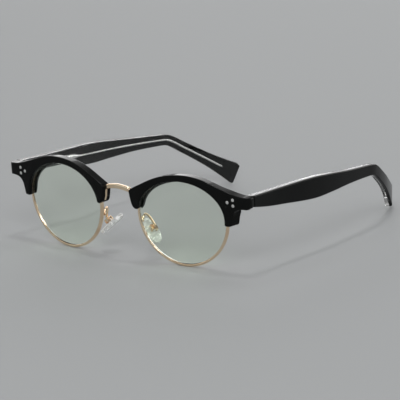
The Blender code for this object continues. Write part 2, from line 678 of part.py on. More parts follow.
def build_temple_hinge(pivot):
    frame = temple_leaf_frame(pivot)
    neck = BARREL_MIDDLE_HEIGHT / 2
    wide = TEMPLE_LEAF_HEIGHT / 2
    begin = BARREL_RADIUS + 2 * SEAT_GAP
    shoulder = begin + wide - neck
    outline = [(0, -neck), (begin, -neck), (shoulder, -wide), (TEMPLE_LEAF_LENGTH - wide, -wide),
               (TEMPLE_LEAF_LENGTH, 0), (TEMPLE_LEAF_LENGTH - wide, wide), (shoulder, wide), (begin, neck), (0, neck)]
    leaf = plate("temple_hinge", outline, LEAF_THICKNESS, frame)
    rise = Vector((0, 0, neck))
    leaf = combine(leaf, [cylinder("barrel", pivot - rise, pivot + rise, BARREL_RADIUS)], "UNION")
    overrun = Vector((0, 0, neck + CUT_OVERRUN))
    holes = [cylinder("pin_hole", pivot - overrun, pivot + overrun, HINGE_SCREW_RADIUS + SCREW_CLEARANCE)]
    for number, along in enumerate(temple_leaf_rivets()):
        holes.append(cylinder(f"hole_{number}", (along, 0, -LEAF_THICKNESS), (along, 0, LEAF_THICKNESS),
                              TEMPLE_RIVET_RADIUS + SCREW_CLEARANCE, frame))
    settle_pair(combine(leaf, holes, "DIFFERENCE"), "temple_hinge", STEEL, pivot)

    for place, along in zip(("front", "rear"), temple_leaf_rivets()):
        name = "temple_rivet_" + place
        buried = (along, 0, LEAF_THICKNESS / 2 + TEMPLE_RIVET_DEPTH)
        rivet = cylinder(name, (along, 0, -LEAF_THICKNESS / 2), buried, TEMPLE_RIVET_RADIUS, frame)
        settle_pair(rivet, name, STEEL, pivot)


def build_hinge_screw(pivot):
    reach = BARREL_MIDDLE_HEIGHT / 2 + BARREL_GAP + BARREL_END_HEIGHT
    up = Vector((0, 0, 1))
    shank = cylinder("hinge_screw", pivot - up * reach, pivot + up * (reach + BARREL_GAP + HINGE_SCREW_HEAD_HEIGHT / 2),
                     HINGE_SCREW_RADIUS)
    seat = pivot + up * (reach + BARREL_GAP)
    head = cylinder("head", seat, seat + up * HINGE_SCREW_HEAD_HEIGHT, HINGE_SCREW_HEAD_RADIUS)
    settle_pair(combine(shank, [head], "UNION"), "hinge_screw", STEEL, pivot)


def temple_route():
    """Temple's centre line with its height, thickness and the share of the reach at each station."""
    lug_end = PLANE @ Vector((LUG_REACH, LUG_MIDDLE, BACK_FACE))
    start = Vector((lug_end.x - TEMPLE_THICKNESS / 2, lug_end.y + BUTT_GAP, lug_end.z))
    rows = []
    for reach, tuck, drop, height, thickness in TEMPLE_ROUTE_SHARES:
        rows.append((start.x - TEMPLE_TUCK * tuck, start.y + TEMPLE_REACH * reach, start.z - TEMPLE_DROP * drop,
                     TEMPLE_HEIGHT * height, TEMPLE_THICKNESS * thickness, reach))
    return smooth(rows, EDGE_STEPS)


def temple_frames(route):
    """Outward and upward directions square to the temple's line at each station."""
    tangent = np.gradient(route[:, :3], axis=0)
    tangent /= np.linalg.norm(tangent, axis=1, keepdims=True)
    outward = np.cross(tangent, [0.0, 0.0, 1.0])
    outward /= np.linalg.norm(outward, axis=1, keepdims=True)
    return outward, np.cross(outward, tangent)


def temple_loft(name, section):
    """Lofts a layer of the temple; its front end lies along the lug's back face."""
    route = temple_route()
    outward, upward = temple_frames(route)
    sections = []
    for row, out, rise in zip(route, outward, upward):
        profile = np.asarray(section(row[3], row[4], row[5]))
        sections.append(row[:3] + profile[:, :1] * out + profile[:, 1:] * rise)
    for place in sections[0]:
        place[1] = back_face_point(place[0], place[2]) + BUTT_GAP
    return loft(name, sections)


def outer_section(height, thickness, _reach):
    """Black layer: flat against the lining, rounded outside."""
    inside = LINING_THICKNESS - TEMPLE_THICKNESS / 2 + LAMINATE_GAP
    outside = thickness - TEMPLE_THICKNESS / 2
    top = height / 2
    corner = TEMPLE_CORNER
    third = TEMPLE_CORNER / 3
    return [(inside, -top), (outside - corner, -top), (outside - third, third - top), (outside, corner - top),
            (outside, top - corner), (outside - third, top - third), (outside - corner, top), (inside, top)]


def lining_section(height, _thickness, reach):
    """Clear layer: soft inner corners, with the core wire's groove facing the black layer."""
    inside = -TEMPLE_THICKNESS / 2
    outside = inside + LINING_THICKNESS
    top = height / 2
    corner = LINING_CORNER
    slot = CORE_WIRE_RADIUS + CORE_GROOVE_CLEARANCE
    cored = CORE_START_SHARE - CORE_SLACK_SHARE < reach < CORE_END_SHARE + CORE_SLACK_SHARE
    floor = outside - (CORE_GROOVE_DEPTH if cored else CORE_GROOVE_ENDS)
    return [(outside, -top), (outside, -slot), (floor, -slot), (floor, slot), (outside, slot), (outside, top),
            (inside + corner, top), (inside, top - corner), (inside, corner - top), (inside + corner, -top)]


def build_temple(pivot):
    settle_pair(temple_loft("temple", outer_section), "temple", ACETATE, pivot)
    lining = temple_loft("temple_lining", lining_section)
    frame = temple_leaf_frame(pivot)
    holes = []
    for number, along in enumerate(temple_leaf_rivets()):
        depth = LEAF_THICKNESS / 2 + TEMPLE_RIVET_DEPTH + SEAT_GAP
        holes.append(cylinder(f"rivet_hole_{number}", (along, 0, 0), (along, 0, depth),
                              TEMPLE_RIVET_RADIUS + SCREW_CLEARANCE, frame))
    settle_pair(combine(lining, holes, "DIFFERENCE"), "temple_lining", LINING, pivot)

    route = temple_route()
    outward, _ = temple_frames(route)
    middle = LINING_THICKNESS - TEMPLE_THICKNESS / 2 - CORE_GROOVE_DEPTH / 2
    cored = (route[:, 5] > CORE_START_SHARE) & (route[:, 5] < CORE_END_SHARE)
    line = (route[:, :3] + outward * middle)[cored]
    settle_pair(wire("core_wire", line, CORE_WIRE_RADIUS), "core_wire", STEEL, pivot)


def pad_frame():
    """Frame of the left nose pad: its width, its length and the way its face looks, at its middle."""
    start = Matrix(((0, 0, -1, 0), (-1, 0, 0, 0), (0, 1, 0, 0), (0, 0, 0, 1)))
    turn = (Matrix.Rotation(-PAD_BACKWARD, 4, "X") @ Matrix.Rotation(-PAD_FRONTAL, 4, "Y")
            @ Matrix.Rotation(-PAD_SPLAY, 4, "Z"))
    return Matrix.Translation((PAD_FROM_MIDDLE, PAD_BEHIND_RIM, -PAD_BELOW_LEVEL)) @ turn @ start


def pad_screw_place():
    """Middle of the pad's screw, in the pad's frame."""
    return Vector((0, 0, -PAD_THICKNESS / 2 - PAD_RUNNING_GAP - PAD_BOX_DEPTH / 2))


def build_nose_pad():
    frame = pad_frame()
    turn = np.linspace(0, 2 * math.pi, PAD_STEPS, endpoint=False)
    swell = 1 - PAD_SWELL_SHARE * np.sin(turn)
    outline = np.stack([PAD_WIDTH / 2 * np.cos(turn) * swell, PAD_LENGTH / 2 * np.sin(turn)], axis=-1)
    rings = []
    for depth, scale in PAD_RING_SHARES:
        rings.append(np.column_stack([outline * scale, np.full(PAD_STEPS, PAD_THICKNESS * depth)]))
    pad = loft("nose_pad", rings, frame)
    back = -PAD_THICKNESS / 2
    boss = block("boss", (-PAD_BOSS_WIDTH / 2, -PAD_BOSS_LENGTH / 2, back - PAD_BOSS_HEIGHT),
                 (PAD_BOSS_WIDTH / 2, PAD_BOSS_LENGTH / 2, back / 2), frame)
    pad = combine(pad, [boss], "UNION")
    screw = pad_screw_place()
    across = Vector((PAD_WIDTH / 4, 0, 0))
    bore = cylinder("bore", screw - across, screw + across, PAD_SCREW_RADIUS + SCREW_CLEARANCE, frame)
    settle_pair(combine(pad, [bore], "DIFFERENCE"), "nose_pad", SILICONE, frame @ screw)


def build_pad_box():
    frame = pad_frame()
    screw = pad_screw_place()
    wide = PAD_BOSS_WIDTH / 2 + SEAT_GAP + PAD_BOX_WALL
    mouth = -PAD_THICKNESS / 2 - PAD_RUNNING_GAP
    floor = -PAD_THICKNESS / 2 - PAD_BOSS_HEIGHT - PAD_RUNNING_GAP
    long = PAD_BOX_LENGTH / 2
    inner = PAD_BOSS_WIDTH / 2 + SEAT_GAP
    box = block("pad_box", (-wide, -long, floor - PAD_BOX_WALL), (wide, long, mouth), frame)
    channel = block("channel", (-inner, -long - CUT_OVERRUN, floor), (inner, long + CUT_OVERRUN, mouth + CUT_OVERRUN), frame)
    across = Vector((wide + CUT_OVERRUN, 0, 0))
    bore = cylinder("bore", screw - across, screw + across, PAD_SCREW_RADIUS + SCREW_CLEARANCE, frame)
    settle_pair(combine(box, [channel, bore], "DIFFERENCE"), "pad_box", GOLD, frame @ screw)

    out = Vector((1, 0, 0))
    shank = cylinder("pad_screw", screw - out * wide, screw + out * (wide + SEAT_GAP + PAD_SCREW_HEAD_HEIGHT / 2),
                     PAD_SCREW_RADIUS, frame)
    seat = screw + out * (wide + SEAT_GAP)
    head = cylinder("head", seat, seat + out * PAD_SCREW_HEAD_HEIGHT, PAD_SCREW_HEAD_RADIUS, frame)
    settle_pair(combine(shank, [head], "UNION"), "pad_screw", STEEL, frame @ screw)

    rim_place = rim_outline(0, np.array([math.pi - rim_angle(-PAD_ARM_LEVEL)]))[0][0]
    start = PLANE @ Vector((rim_place[0], rim_place[1], -RIM_DEPTH / 2 - SEAT_GAP - PAD_ARM_RADIUS))
    end = frame @ Vector((0, 0, floor - PAD_BOX_WALL - SEAT_GAP - PAD_ARM_RADIUS))
    rows = []
    for along, rise, bow in ARM_ROUTE_SHARES:
        rows.append(start.lerp(end, along) + Vector((-PAD_ARM_BOW * bow, 0, PAD_ARM_RISE * rise)))
    arm = wire("pad_arm", smooth(rows, EDGE_STEPS + 1), PAD_ARM_RADIUS)
    settle_pair(arm, "pad_arm", GOLD, PLANE_ORIGIN)


def stand_on_origin():
    """Moves the finished glasses so that the middle of their footprint is the origin."""
    bpy.context.view_layer.update()
    corners = [part.matrix_world @ vertex.co for part in PARTS.objects for vertex in part.data.vertices]
    places = np.array(corners)
    low, high = places.min(axis=0), places.max(axis=0)
    shift = Vector((-(low[0] + high[0]) / 2, -(low[1] + high[1]) / 2, -low[2]))
    for part in PARTS.objects:
        part.location += shift
    print("size", high - low)
    return shift


def main():
    pivot = hinge_pivot()
    build_rim_and_lens()
    build_brow()
    build_bridge()
    build_closing_block()
    build_front_rivets()
    build_front_hinge(pivot)
    build_temple_hinge(pivot)
    build_hinge_screw(pivot)
    build_temple(pivot)
    build_nose_pad()
    build_pad_box()
    shift = stand_on_origin()
    print("hinge pivot", pivot + shift)
    print("pad pivot", pad_frame() @ pad_screw_place() + shift, "axis", pad_frame().to_3x3() @ Vector((1, 0, 0)))
    print("front leaf seat", PLANE @ Vector((LUG_REACH, LUG_MIDDLE, BACK_FACE)) + shift)


main()
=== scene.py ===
"""Browline eyeglasses, dressed and lit for a product picture.

Every shape is worked out on the wearer's left, at +X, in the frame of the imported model, and mirrored to
the right. Lengths are in metres. The left lens has its own plane: across to the temple, up and forward.
"""
import logging
import math
from dataclasses import dataclass, field
from enum import Enum

import bmesh
import bpy
import numpy as np
from mathutils import Matrix, Vector


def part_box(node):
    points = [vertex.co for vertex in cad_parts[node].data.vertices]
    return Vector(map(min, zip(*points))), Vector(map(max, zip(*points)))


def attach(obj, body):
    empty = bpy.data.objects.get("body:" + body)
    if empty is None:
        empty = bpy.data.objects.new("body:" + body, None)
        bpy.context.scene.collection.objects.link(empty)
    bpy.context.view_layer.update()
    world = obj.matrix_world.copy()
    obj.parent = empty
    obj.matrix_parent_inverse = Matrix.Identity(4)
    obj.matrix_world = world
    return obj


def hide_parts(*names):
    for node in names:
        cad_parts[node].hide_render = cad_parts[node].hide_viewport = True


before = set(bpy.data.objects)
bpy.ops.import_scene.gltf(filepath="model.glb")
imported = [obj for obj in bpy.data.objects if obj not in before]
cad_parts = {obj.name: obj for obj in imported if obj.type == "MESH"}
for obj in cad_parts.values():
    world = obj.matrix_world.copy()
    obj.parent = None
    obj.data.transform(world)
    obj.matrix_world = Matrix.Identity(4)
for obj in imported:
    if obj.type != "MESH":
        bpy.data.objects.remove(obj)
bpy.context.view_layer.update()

LOG = logging.getLogger("eyeglasses")
COLLECTION = bpy.context.scene.collection
UP = np.array([0.0, 0.0, 1.0])
SHARP_DEGREES = 35.0
BROKEN_DEGREES = 40.0
FLAT_DEGREES = 1.0
MERGE_DISTANCE = 1e-6
SEATING_STEPS = 720
SLOTTED_SHARE = 0.6

Pair = tuple[float, float]
Triple = tuple[float, float, float]


class Side(Enum):
    """The wearer's left, at +X, and right, at -X."""

    LEFT = 1
    RIGHT = -1

    @property
    def word(self) -> str:
        """The end of this side's piece and node names."""
        return "_left" if self is Side.LEFT else "_right"


class Ends(Enum):
    """How the two ends of a carried profile are closed."""

    FLAT = "flat"
    DOMED = "domed"


# Curves and shells


def smooth_curve(rows: np.ndarray, steps: int) -> np.ndarray:
    """Catmull-Rom curve through the rows of an array.

    Between two rows it is the cubic whose slope at each of them is half the step from the row before it
    to the row after it.

    Args:
        rows: points, one to a row, with any number of columns.
        steps: how many points there are from one row to the next.

    Returns:
        The points of the curve, with the last row at its end.
    """
    padded = np.vstack([2 * rows[0] - rows[1], rows, 2 * rows[-1] - rows[-2]])
    before, start, end, after = padded[:-3, None], padded[1:-2, None], padded[2:-1, None], padded[3:, None]
    share = np.linspace(0.0, 1.0, steps, endpoint=False)[None, :, None]
    linear = end - before
    square = 2 * before - 5 * start + 4 * end - after
    cube = 3 * start - before - 3 * end + after
    curve = start + (linear * share + square * share**2 + cube * share**3) / 2
    return np.vstack([curve.reshape(-1, rows.shape[1]), rows[-1:]])


def ramp(value: np.ndarray, low: float, high: float) -> np.ndarray:
    """Smooth step: the share of the way from low to high, squared, times three less twice that share."""
    share = np.clip((value - low) / (high - low), 0, 1)
    return share * share * (3 - 2 * share)


def unit(vectors: np.ndarray) -> np.ndarray:
    """Each vector divided by its own length."""
    return vectors / np.linalg.norm(vectors, axis=-1, keepdims=True)


def lifted(flat: np.ndarray, level: np.ndarray | float) -> np.ndarray:
    """Grid of points in space: a grid of flat points, each with its level as a third part."""
    return np.concatenate([flat, np.broadcast_to(level, flat.shape[:-1])[..., None]], axis=-1)


def superellipse(wide: float, high: float, count: int, power: float = 0.5) -> np.ndarray:
    """Closed rounded rectangle: each half size times the cosine or sine, raised to a power with its sign.

    Args:
        wide: half the width.
        high: half the height.
        count: points round the outline.
        power: 1 for an ellipse, towards 0 for a rectangle.

    Returns:
        The outline's points, two columns.
    """
    turn = np.linspace(0, 2 * math.pi, count, endpoint=False)
    wave = np.stack([np.cos(turn), np.sin(turn)], axis=-1)
    return np.sign(wave) * np.abs(wave) ** power * [wide, high]


@dataclass
class Shell:
    """Points and faces of one closed surface, each array of faces with one number of corners."""

    points: np.ndarray
    faces: list[np.ndarray]

    def volume(self) -> float:
        """Sum over the fan triangles of each face of the tetrahedra that they make with the origin.

        Returns:
            The volume, below zero where the faces point inwards.
        """
        total = 0.0
        for face in self.faces:
            corners = self.points[face]
            first, second, third = corners[:, :1], corners[:, 1:-1], corners[:, 2:]
            total += float((first * np.cross(second, third)).sum()) / 6
        return total

    def outward(self) -> "Shell":
        """The same surface with its faces turned so that its volume is positive."""
        return self if self.volume() >= 0 else Shell(self.points, [face[:, ::-1] for face in self.faces])

    def placed(self, rotation: np.ndarray, origin: np.ndarray) -> "Shell":
        """The surface with each point turned by the matrix and moved by the origin."""
        return Shell(self.points @ rotation.T + origin, self.faces)

    def on(self, side: Side) -> "Shell":
        """The surface on its side: x changes its sign on the right, and the faces point outwards again."""
        return Shell(self.points * [side.value, 1, 1], self.faces).outward()

    def with_shell(self, other: "Shell") -> "Shell":
        """Both surfaces as one piece, each turned outwards on its own first.

        Args:
            other: the second surface.

        Returns:
            The joint surface.
        """
        first, second = self.outward(), other.outward()
        shifted = [face + len(first.points) for face in second.faces]
        return Shell(np.vstack([first.points, second.points]), first.faces + shifted)


def carried(grid: np.ndarray, ends: Ends = Ends.FLAT) -> Shell:
    """Surface over a grid of points whose columns run round a closed profile and whose rows run along a path.

    Args:
        grid: points as rows, columns, and x y z.
        ends: FLAT closes each end with one face, and DOMED with a fan to the end's mean point.

    Returns:
        The closed surface.
    """
    rows, columns = grid.shape[:2]
    index = np.arange(rows * columns).reshape(rows, columns)
    beside = np.roll(index, -1, axis=1)
    quads = np.stack([index[:-1], beside[:-1], beside[1:], index[1:]], axis=-1).reshape(-1, 4)
    points, first, last = grid.reshape(-1, 3), index[0, ::-1], index[-1]
    if ends is Ends.FLAT:
        return Shell(points, [quads, first[None], last[None]]).outward()
    poles = np.stack([grid[0].mean(axis=0), grid[-1].mean(axis=0)])
    fans = [np.stack([ring, np.roll(ring, -1), np.full(columns, len(points) + which)], axis=-1)
            for which, ring in enumerate((first, last))]
    return Shell(np.vstack([points, poles]), [quads, *fans]).outward()


def path_frames(path: np.ndarray, sideways: np.ndarray) -> tuple[np.ndarray, np.ndarray]:
    """Two directions square to a path at each of its points.

    The first is the path's way crossed with the given direction, the second the first crossed with the way.

    Args:
        path: points of the path.
        sideways: a direction that the path never takes, one for all points or one to a point.

    Returns:
        The first and the second direction at each point.
    """
    along = unit(np.gradient(path, axis=0))
    first = unit(np.cross(along, np.broadcast_to(sideways, path.shape)))
    return first, np.cross(first, along)


def swept(path: np.ndarray, section: np.ndarray, across: np.ndarray, up: np.ndarray) -> np.ndarray:
    """Grid of a flat section along a path: the path's point, plus the section's two parts times two vectors.

    Args:
        path: points of the path.
        section: the section's points, two columns, in half sizes.
        across: at each point of the path, the vector of the first half size.
        up: at each point of the path, the vector of the second half size.

    Returns:
        The grid, with the path along its rows and the section along its columns.
    """
    return path[:, None] + section[None, :, :1] * across[:, None] + section[None, :, 1:] * up[:, None]


def rod(path: np.ndarray, radius: np.ndarray, sideways: np.ndarray, count: int = 20) -> Shell:
    """Round rod along a path: at each point a circle of that point's radius square to the path.

    Args:
        path: points of the path.
        radius: the radius at each point.
        sideways: a direction that the path never takes.
        count: points round the rod.

    Returns:
        The closed surface.
    """
    first, second = path_frames(path, sideways)
    circle = superellipse(1, 1, count, 1.0)
    return carried(swept(path, circle, first * radius[:, None], second * radius[:, None]), Ends.DOMED)


def turned(profile: np.ndarray, count: int, slot_width: float = 0, slot_depth: float = 0) -> Shell:
    """Turned shape about its own z axis, with a driver slot across its top if it has a depth.

    A point is radius times cosine, radius times sine, and height. The rings that lie within the slotted
    share of the slot's depth below the top fall by the slot's depth where y is nearer to the axis than
    half the slot's width, over walls a tenth of that width wide.

    Args:
        profile: radius and height of each ring, from the foot to the middle of the top.
        count: points round each ring.
        slot_width: width of the slot.
        slot_depth: depth of the slot.

    Returns:
        The closed surface.
    """
    turn = np.linspace(0, 2 * math.pi, count, endpoint=False)
    radius, height = profile[:, :1], np.repeat(profile[:, 1:], count, axis=1)
    x, y = radius * np.cos(turn), radius * np.sin(turn)
    if slot_depth:
        half, wall = slot_width / 2, slot_width / 20
        top = profile[:, 1:].max() - height < slot_depth * SLOTTED_SHARE
        height = height - slot_depth * top * (1 - ramp(np.abs(y), half - wall, half + wall))
    return carried(np.stack([x, y, height], axis=-1), Ends.DOMED)


# Meshes and pieces


def shade(mesh: bpy.types.Mesh, sharp: float = SHARP_DEGREES) -> None:
    """Shades a mesh smooth, but leaves the edges sharp that are steeper than so many degrees."""
    mesh.shade_smooth()
    mesh.set_sharp_from_angle(angle=math.radians(sharp))


def link_piece(name: str, mesh: bpy.types.Mesh, sharp: float = SHARP_DEGREES) -> bpy.types.Object:
    """Puts a mesh into the scene as a smooth-shaded piece at the origin.

    Args:
        name: the piece's name.
        mesh: its mesh.
        sharp: edges steeper than this many degrees stay sharp.

    Returns:
        The new object.
    """
    shade(mesh, sharp)
    piece = bpy.data.objects.new(name, mesh)
    COLLECTION.objects.link(piece)
    return piece


def mesh_piece(name: str, shell: Shell, sharp: float = SHARP_DEGREES) -> bpy.types.Object:
    """Writes a shell into a mesh as whole arrays and links it as a piece.

    Args:
        name: the piece's name.
        shell: its surface.
        sharp: edges steeper than this many degrees stay sharp.

    Returns:
        The new object.
    """
    loops = np.concatenate([face.ravel() for face in shell.faces])
    sizes = np.concatenate([np.full(len(face), face.shape[1]) for face in shell.faces])
    mesh = bpy.data.meshes.new(name)
    mesh.vertices.add(len(shell.points))
    mesh.vertices.foreach_set("co", shell.points.astype(np.float32).ravel())
    mesh.loops.add(len(loops))
    mesh.loops.foreach_set("vertex_index", loops.astype(np.int32))
    mesh.polygons.add(len(sizes))
    mesh.polygons.foreach_set("loop_start", (np.cumsum(sizes) - sizes).astype(np.int32))
    mesh.update(calc_edges=True)
    mesh.validate()
    return link_piece(name, mesh, sharp)


def carve(piece: bpy.types.Object, cutters: list[bpy.types.Object]) -> None:
    """Cuts each cutter's shape out of a piece, keeps the result as its mesh and removes the cutters.

    Args:
        piece: the piece that is cut.
        cutters: closed objects.
    """
    for cutter in cutters:
        modifier = piece.modifiers.new(cutter.name, "BOOLEAN")
        modifier.operation, modifier.solver = "DIFFERENCE", "EXACT"
        modifier.object = cutter
    bpy.context.view_layer.update()
    result = bpy.data.meshes.new_from_object(piece.evaluated_get(bpy.context.evaluated_depsgraph_get()))
    piece.modifiers.clear()
    piece.data = result
    shade(result)
    for cutter in cutters:
        bpy.data.objects.remove(cutter, do_unlink=True)


def break_edges(piece: bpy.types.Object, width: float, steeper: float) -> None:
    """Breaks a piece's edges by a small bevel.

    Args:
        piece: the piece.
        width: width of the bevel.
        steeper: the edges that are steeper than this many degrees are broken.
    """
    bevel = piece.modifiers.new("broken_edges", "BEVEL")
    bevel.width, bevel.segments = width, 2
    bevel.limit_method, bevel.angle_limit = "ANGLE", math.radians(steeper)


def bevelled_copy(node: str, name: str, width: float, squeeze: Pair = (0.0, 1.0)) -> bpy.types.Object:
    """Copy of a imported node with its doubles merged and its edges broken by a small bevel.

    Args:
        node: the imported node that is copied.
        name: the new piece's name.
        width: width of the bevel.
        squeeze: a level, and the share of its distance from that level that each point keeps.

    Returns:
        The new piece.
    """
    level, kept = squeeze
    to_level, back = Matrix.Translation((0, 0, -level)), Matrix.Translation((0, 0, level))
    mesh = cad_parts[node].data.copy()
    mesh.name = name
    shell = bmesh.new()
    shell.from_mesh(mesh)
    bmesh.ops.remove_doubles(shell, verts=shell.verts, dist=MERGE_DISTANCE)
    flat = math.radians(FLAT_DEGREES)
    bmesh.ops.dissolve_limit(shell, angle_limit=flat, verts=shell.verts, edges=shell.edges)
    bmesh.ops.transform(shell, matrix=back @ Matrix.Diagonal((1, 1, kept, 1)) @ to_level, verts=shell.verts)
    shell.to_mesh(mesh)
    shell.free()
    mesh.materials.clear()
    piece = link_piece(name, mesh)
    break_edges(piece, width, BROKEN_DEGREES)
    return piece


# Shader maths


class Value:
    """A socket in a shader's tree, with the sums that the finishes use."""

    def __init__(self, graph: "Graph", socket: bpy.types.NodeSocket) -> None:
        """Keeps the graph and the socket."""
        self.graph = graph
        self.socket = socket

    def _with(self, operation: str, *values: "Value | float") -> "Value":
        """The result of a Math node on these values."""
        return self.graph.node("ShaderNodeMath", {"operation": operation}, dict(enumerate(values)))["Value"]

    def __add__(self, other: "Value | float") -> "Value":
        """Sum."""
        return self._with("ADD", self, other)

    def __sub__(self, other: "Value | float") -> "Value":
        """Difference."""
        return self._with("SUBTRACT", self, other)

    def __mul__(self, other: "Value | float") -> "Value":
        """Product."""
        return self._with("MULTIPLY", self, other)

    def __rsub__(self, other: float) -> "Value":
        """Difference from a number."""
        return self._with("SUBTRACT", other, self)

    __radd__ = __add__
    __rmul__ = __mul__

    def smooth(self, low: float, high: float) -> "Value":
        """Smooth step from 0 at low to 1 at high."""
        inputs = {"Value": self, "From Min": low, "From Max": high}
        return self.graph.node("ShaderNodeMapRange", {"interpolation_type": "SMOOTHSTEP"}, inputs)["Result"]


class Made:
    """A node that a graph has made, whose outputs are read by name."""

    def __init__(self, graph: "Graph", node: bpy.types.Node) -> None:
        """Keeps the graph and the node."""
        self.graph = graph
        self.node = node

    def __getitem__(self, output: str | int) -> Value:
        """The output of that name or number."""
        return Value(self.graph, self.node.outputs[output])


class Graph:
    """Node tree of one material or world, filled through one method."""

    def __init__(self, owner: bpy.types.Material | bpy.types.World) -> None:
        """Empties the owner's tree and keeps it.

        Args:
            owner: the material or the world.
        """
        owner.use_nodes = True
        self.tree = owner.node_tree
        self.tree.nodes.clear()

    def node(self, kind: str, settings: dict | None = None, inputs: dict | None = None) -> Made:
        """Adds a node.

        Args:
            kind: the node's type.
            settings: its own settings by name, set first.
            inputs: values or links of its sockets, by name or number.

        Returns:
            The node, whose outputs are read by name.
        """
        node = self.tree.nodes.new(kind)
        for name, setting in (settings or {}).items():
            setattr(node, name, setting)
        for name, value in (inputs or {}).items():
            if isinstance(value, Value):
                self.tree.links.new(value.socket, node.inputs[name])
            else:
                node.inputs[name].default_value = value
        return Made(self, node)

    def place(self) -> Value:
        """Object coordinates, in metres."""
        return self.node("ShaderNodeTexCoord")["Object"]

    def stretched(self, scale: Triple) -> Value:
        """Object coordinates multiplied along each axis."""
        return self.node("ShaderNodeMapping", {}, {"Vector": self.place(), "Scale": scale})["Vector"]

    def noise(
        self, scale: float, detail: float = 3.0, rough: float = 0.5, where: Value | None = None
    ) -> Value:
        """Noise from 0 to 1 whose features repeat about that many times in a metre."""
        inputs = {"Vector": where or self.place(), "Scale": scale, "Detail": detail, "Roughness": rough}
        return self.node("ShaderNodeTexNoise", {}, inputs)["Fac"]

    def lines(self, scale: Triple, detail: float = 3.0, rough: float = 0.5) -> Value:
        """Noise from 0 to 1 that repeats about that many times in a metre along each axis."""
        return self.noise(1.0, detail, rough, self.stretched(scale))

    def blend(self, share: Value, first: Triple, second: Triple) -> Value:
        """Colour between two colours at a varying share."""
        inputs = {0: share, 6: (*first, 1), 7: (*second, 1)}
        return self.node("ShaderNodeMix", {"data_type": "RGBA"}, inputs)[2]

    def bump(self, height: Value, distance: float, strength: float) -> Value:
        """Normal of a surface raised by the height times the distance."""
        inputs = {"Height": height, "Distance": distance, "Strength": strength}
        return self.node("ShaderNodeBump", {}, inputs)["Normal"]

    def principled(self, inputs: dict[str, "Value | float"]) -> Value:
        """Principled shader with these inputs."""
        return self.node("ShaderNodeBsdfPrincipled", {}, inputs)["BSDF"]

    def mix(self, share: Value, first: Value, second: Value) -> Value:
        """Shader between two shaders at a varying share."""
        return self.node("ShaderNodeMixShader", {}, {0: share, 1: first, 2: second})["Shader"]

    def light_in_shadow(self, body: Value, shade: Triple) -> Value:
        """Shader that lets lamps shine through it by a tint and is the given body to every other ray.

        Args:
            body: the shader to every ray but a shadow ray.
            shade: the tint of the light that comes through.

        Returns:
            The shader.
        """
        filtered = self.node("ShaderNodeBsdfTransparent", {}, {"Color": (*shade, 1)})["BSDF"]
        shadow = self.node("ShaderNodeLightPath")["Is Shadow Ray"]
        return self.mix(shadow, body, filtered)

    def finish_with(self, surface: Value) -> None:
        """Sends a shader to the material's output."""
        self.node("ShaderNodeOutputMaterial", {}, {"Surface": surface})


# Finishes


@dataclass(frozen=True)
class Finish:
    """A finish of the record: its slot and the material that shows it."""

    slot: str
    label: str = ""

    def material(self) -> bpy.types.Material:
        """The finish's material, made once.

        Returns:
            The material.
        """
        name = "finish_" + self.slot + self.label
        made = bpy.data.materials.get(name)
        if made is None:
            made = bpy.data.materials.new(name)
            graph = Graph(made)
            graph.finish_with(self.surface(graph))
        return made

    def surface(self, graph: Graph) -> Value:
        """The finish's shader, drawn into a graph."""
        raise NotImplementedError


@dataclass(frozen=True)
class PolishedAcetate(Finish):
    """Black sheet acetate, tumbled and buffed: deep, glossy, with faint buffing haze and ripple."""

    slot: str = "black_acetate"
    deep: Triple = (0.0038, 0.0042, 0.0041)
    worn: Triple = (0.0054, 0.0058, 0.0056)
    index: float = 1.49
    mirror: float = 0.10
    smoothest: float = 0.005
    haze_scale: float = 90.0
    haze_edges: Pair = (0.35, 0.75)
    fine_scale: float = 1500.0
    ripple_scale: float = 240.0
    ripple_height: float = 0.00004
    ripple_strength: float = 0.35

    def surface(self, graph: Graph) -> Value:
        """Colour and roughness wander with soft noise, and a fine ripple moves the reflections.

        Args:
            graph: where the nodes are drawn.

        Returns:
            The shader.
        """
        haze = graph.noise(self.haze_scale, 4.0).smooth(*self.haze_edges)
        fine = graph.noise(self.fine_scale, 4.0, 0.6)
        ripple = graph.noise(self.ripple_scale, 2.0, 0.4) * 0.85 + fine * 0.15
        return graph.principled({
            "Base Color": graph.blend(haze, self.deep, self.worn),
            "Roughness": haze * 0.05 + fine * 0.05 + self.smoothest,
            "Normal": graph.bump(ripple, self.ripple_height, self.ripple_strength),
            "IOR": self.index, "Specular IOR Level": self.mirror,
        })


@dataclass(frozen=True)
class ClearAcetate(Finish):
    """Crystal acetate inside the temples: clear, faintly grey, with the same buffed skin."""

    slot: str = "clear_acetate"
    tint: Triple = (0.80, 0.81, 0.80)
    light_tint: Triple = (0.86, 0.865, 0.86)
    index: float = 1.49
    smoothest: float = 0.01
    skin_scale: float = 700.0
    skin_height: float = 0.00002
    skin_strength: float = 0.2

    def surface(self, graph: Graph) -> Value:
        """Clear glass-like body whose skin has a trace of ripple and haze.

        Args:
            graph: where the nodes are drawn.

        Returns:
            The shader.
        """
        skin = graph.noise(self.skin_scale)
        body = graph.principled({
            "Base Color": graph.blend(skin, self.tint, self.light_tint),
            "Roughness": skin * 0.04 + self.smoothest,
            "Normal": graph.bump(skin, self.skin_height, self.skin_strength),
            "IOR": self.index, "Transmission Weight": 1.0, "Specular IOR Level": 0.0,
        })
        return graph.light_in_shadow(body, self.tint)


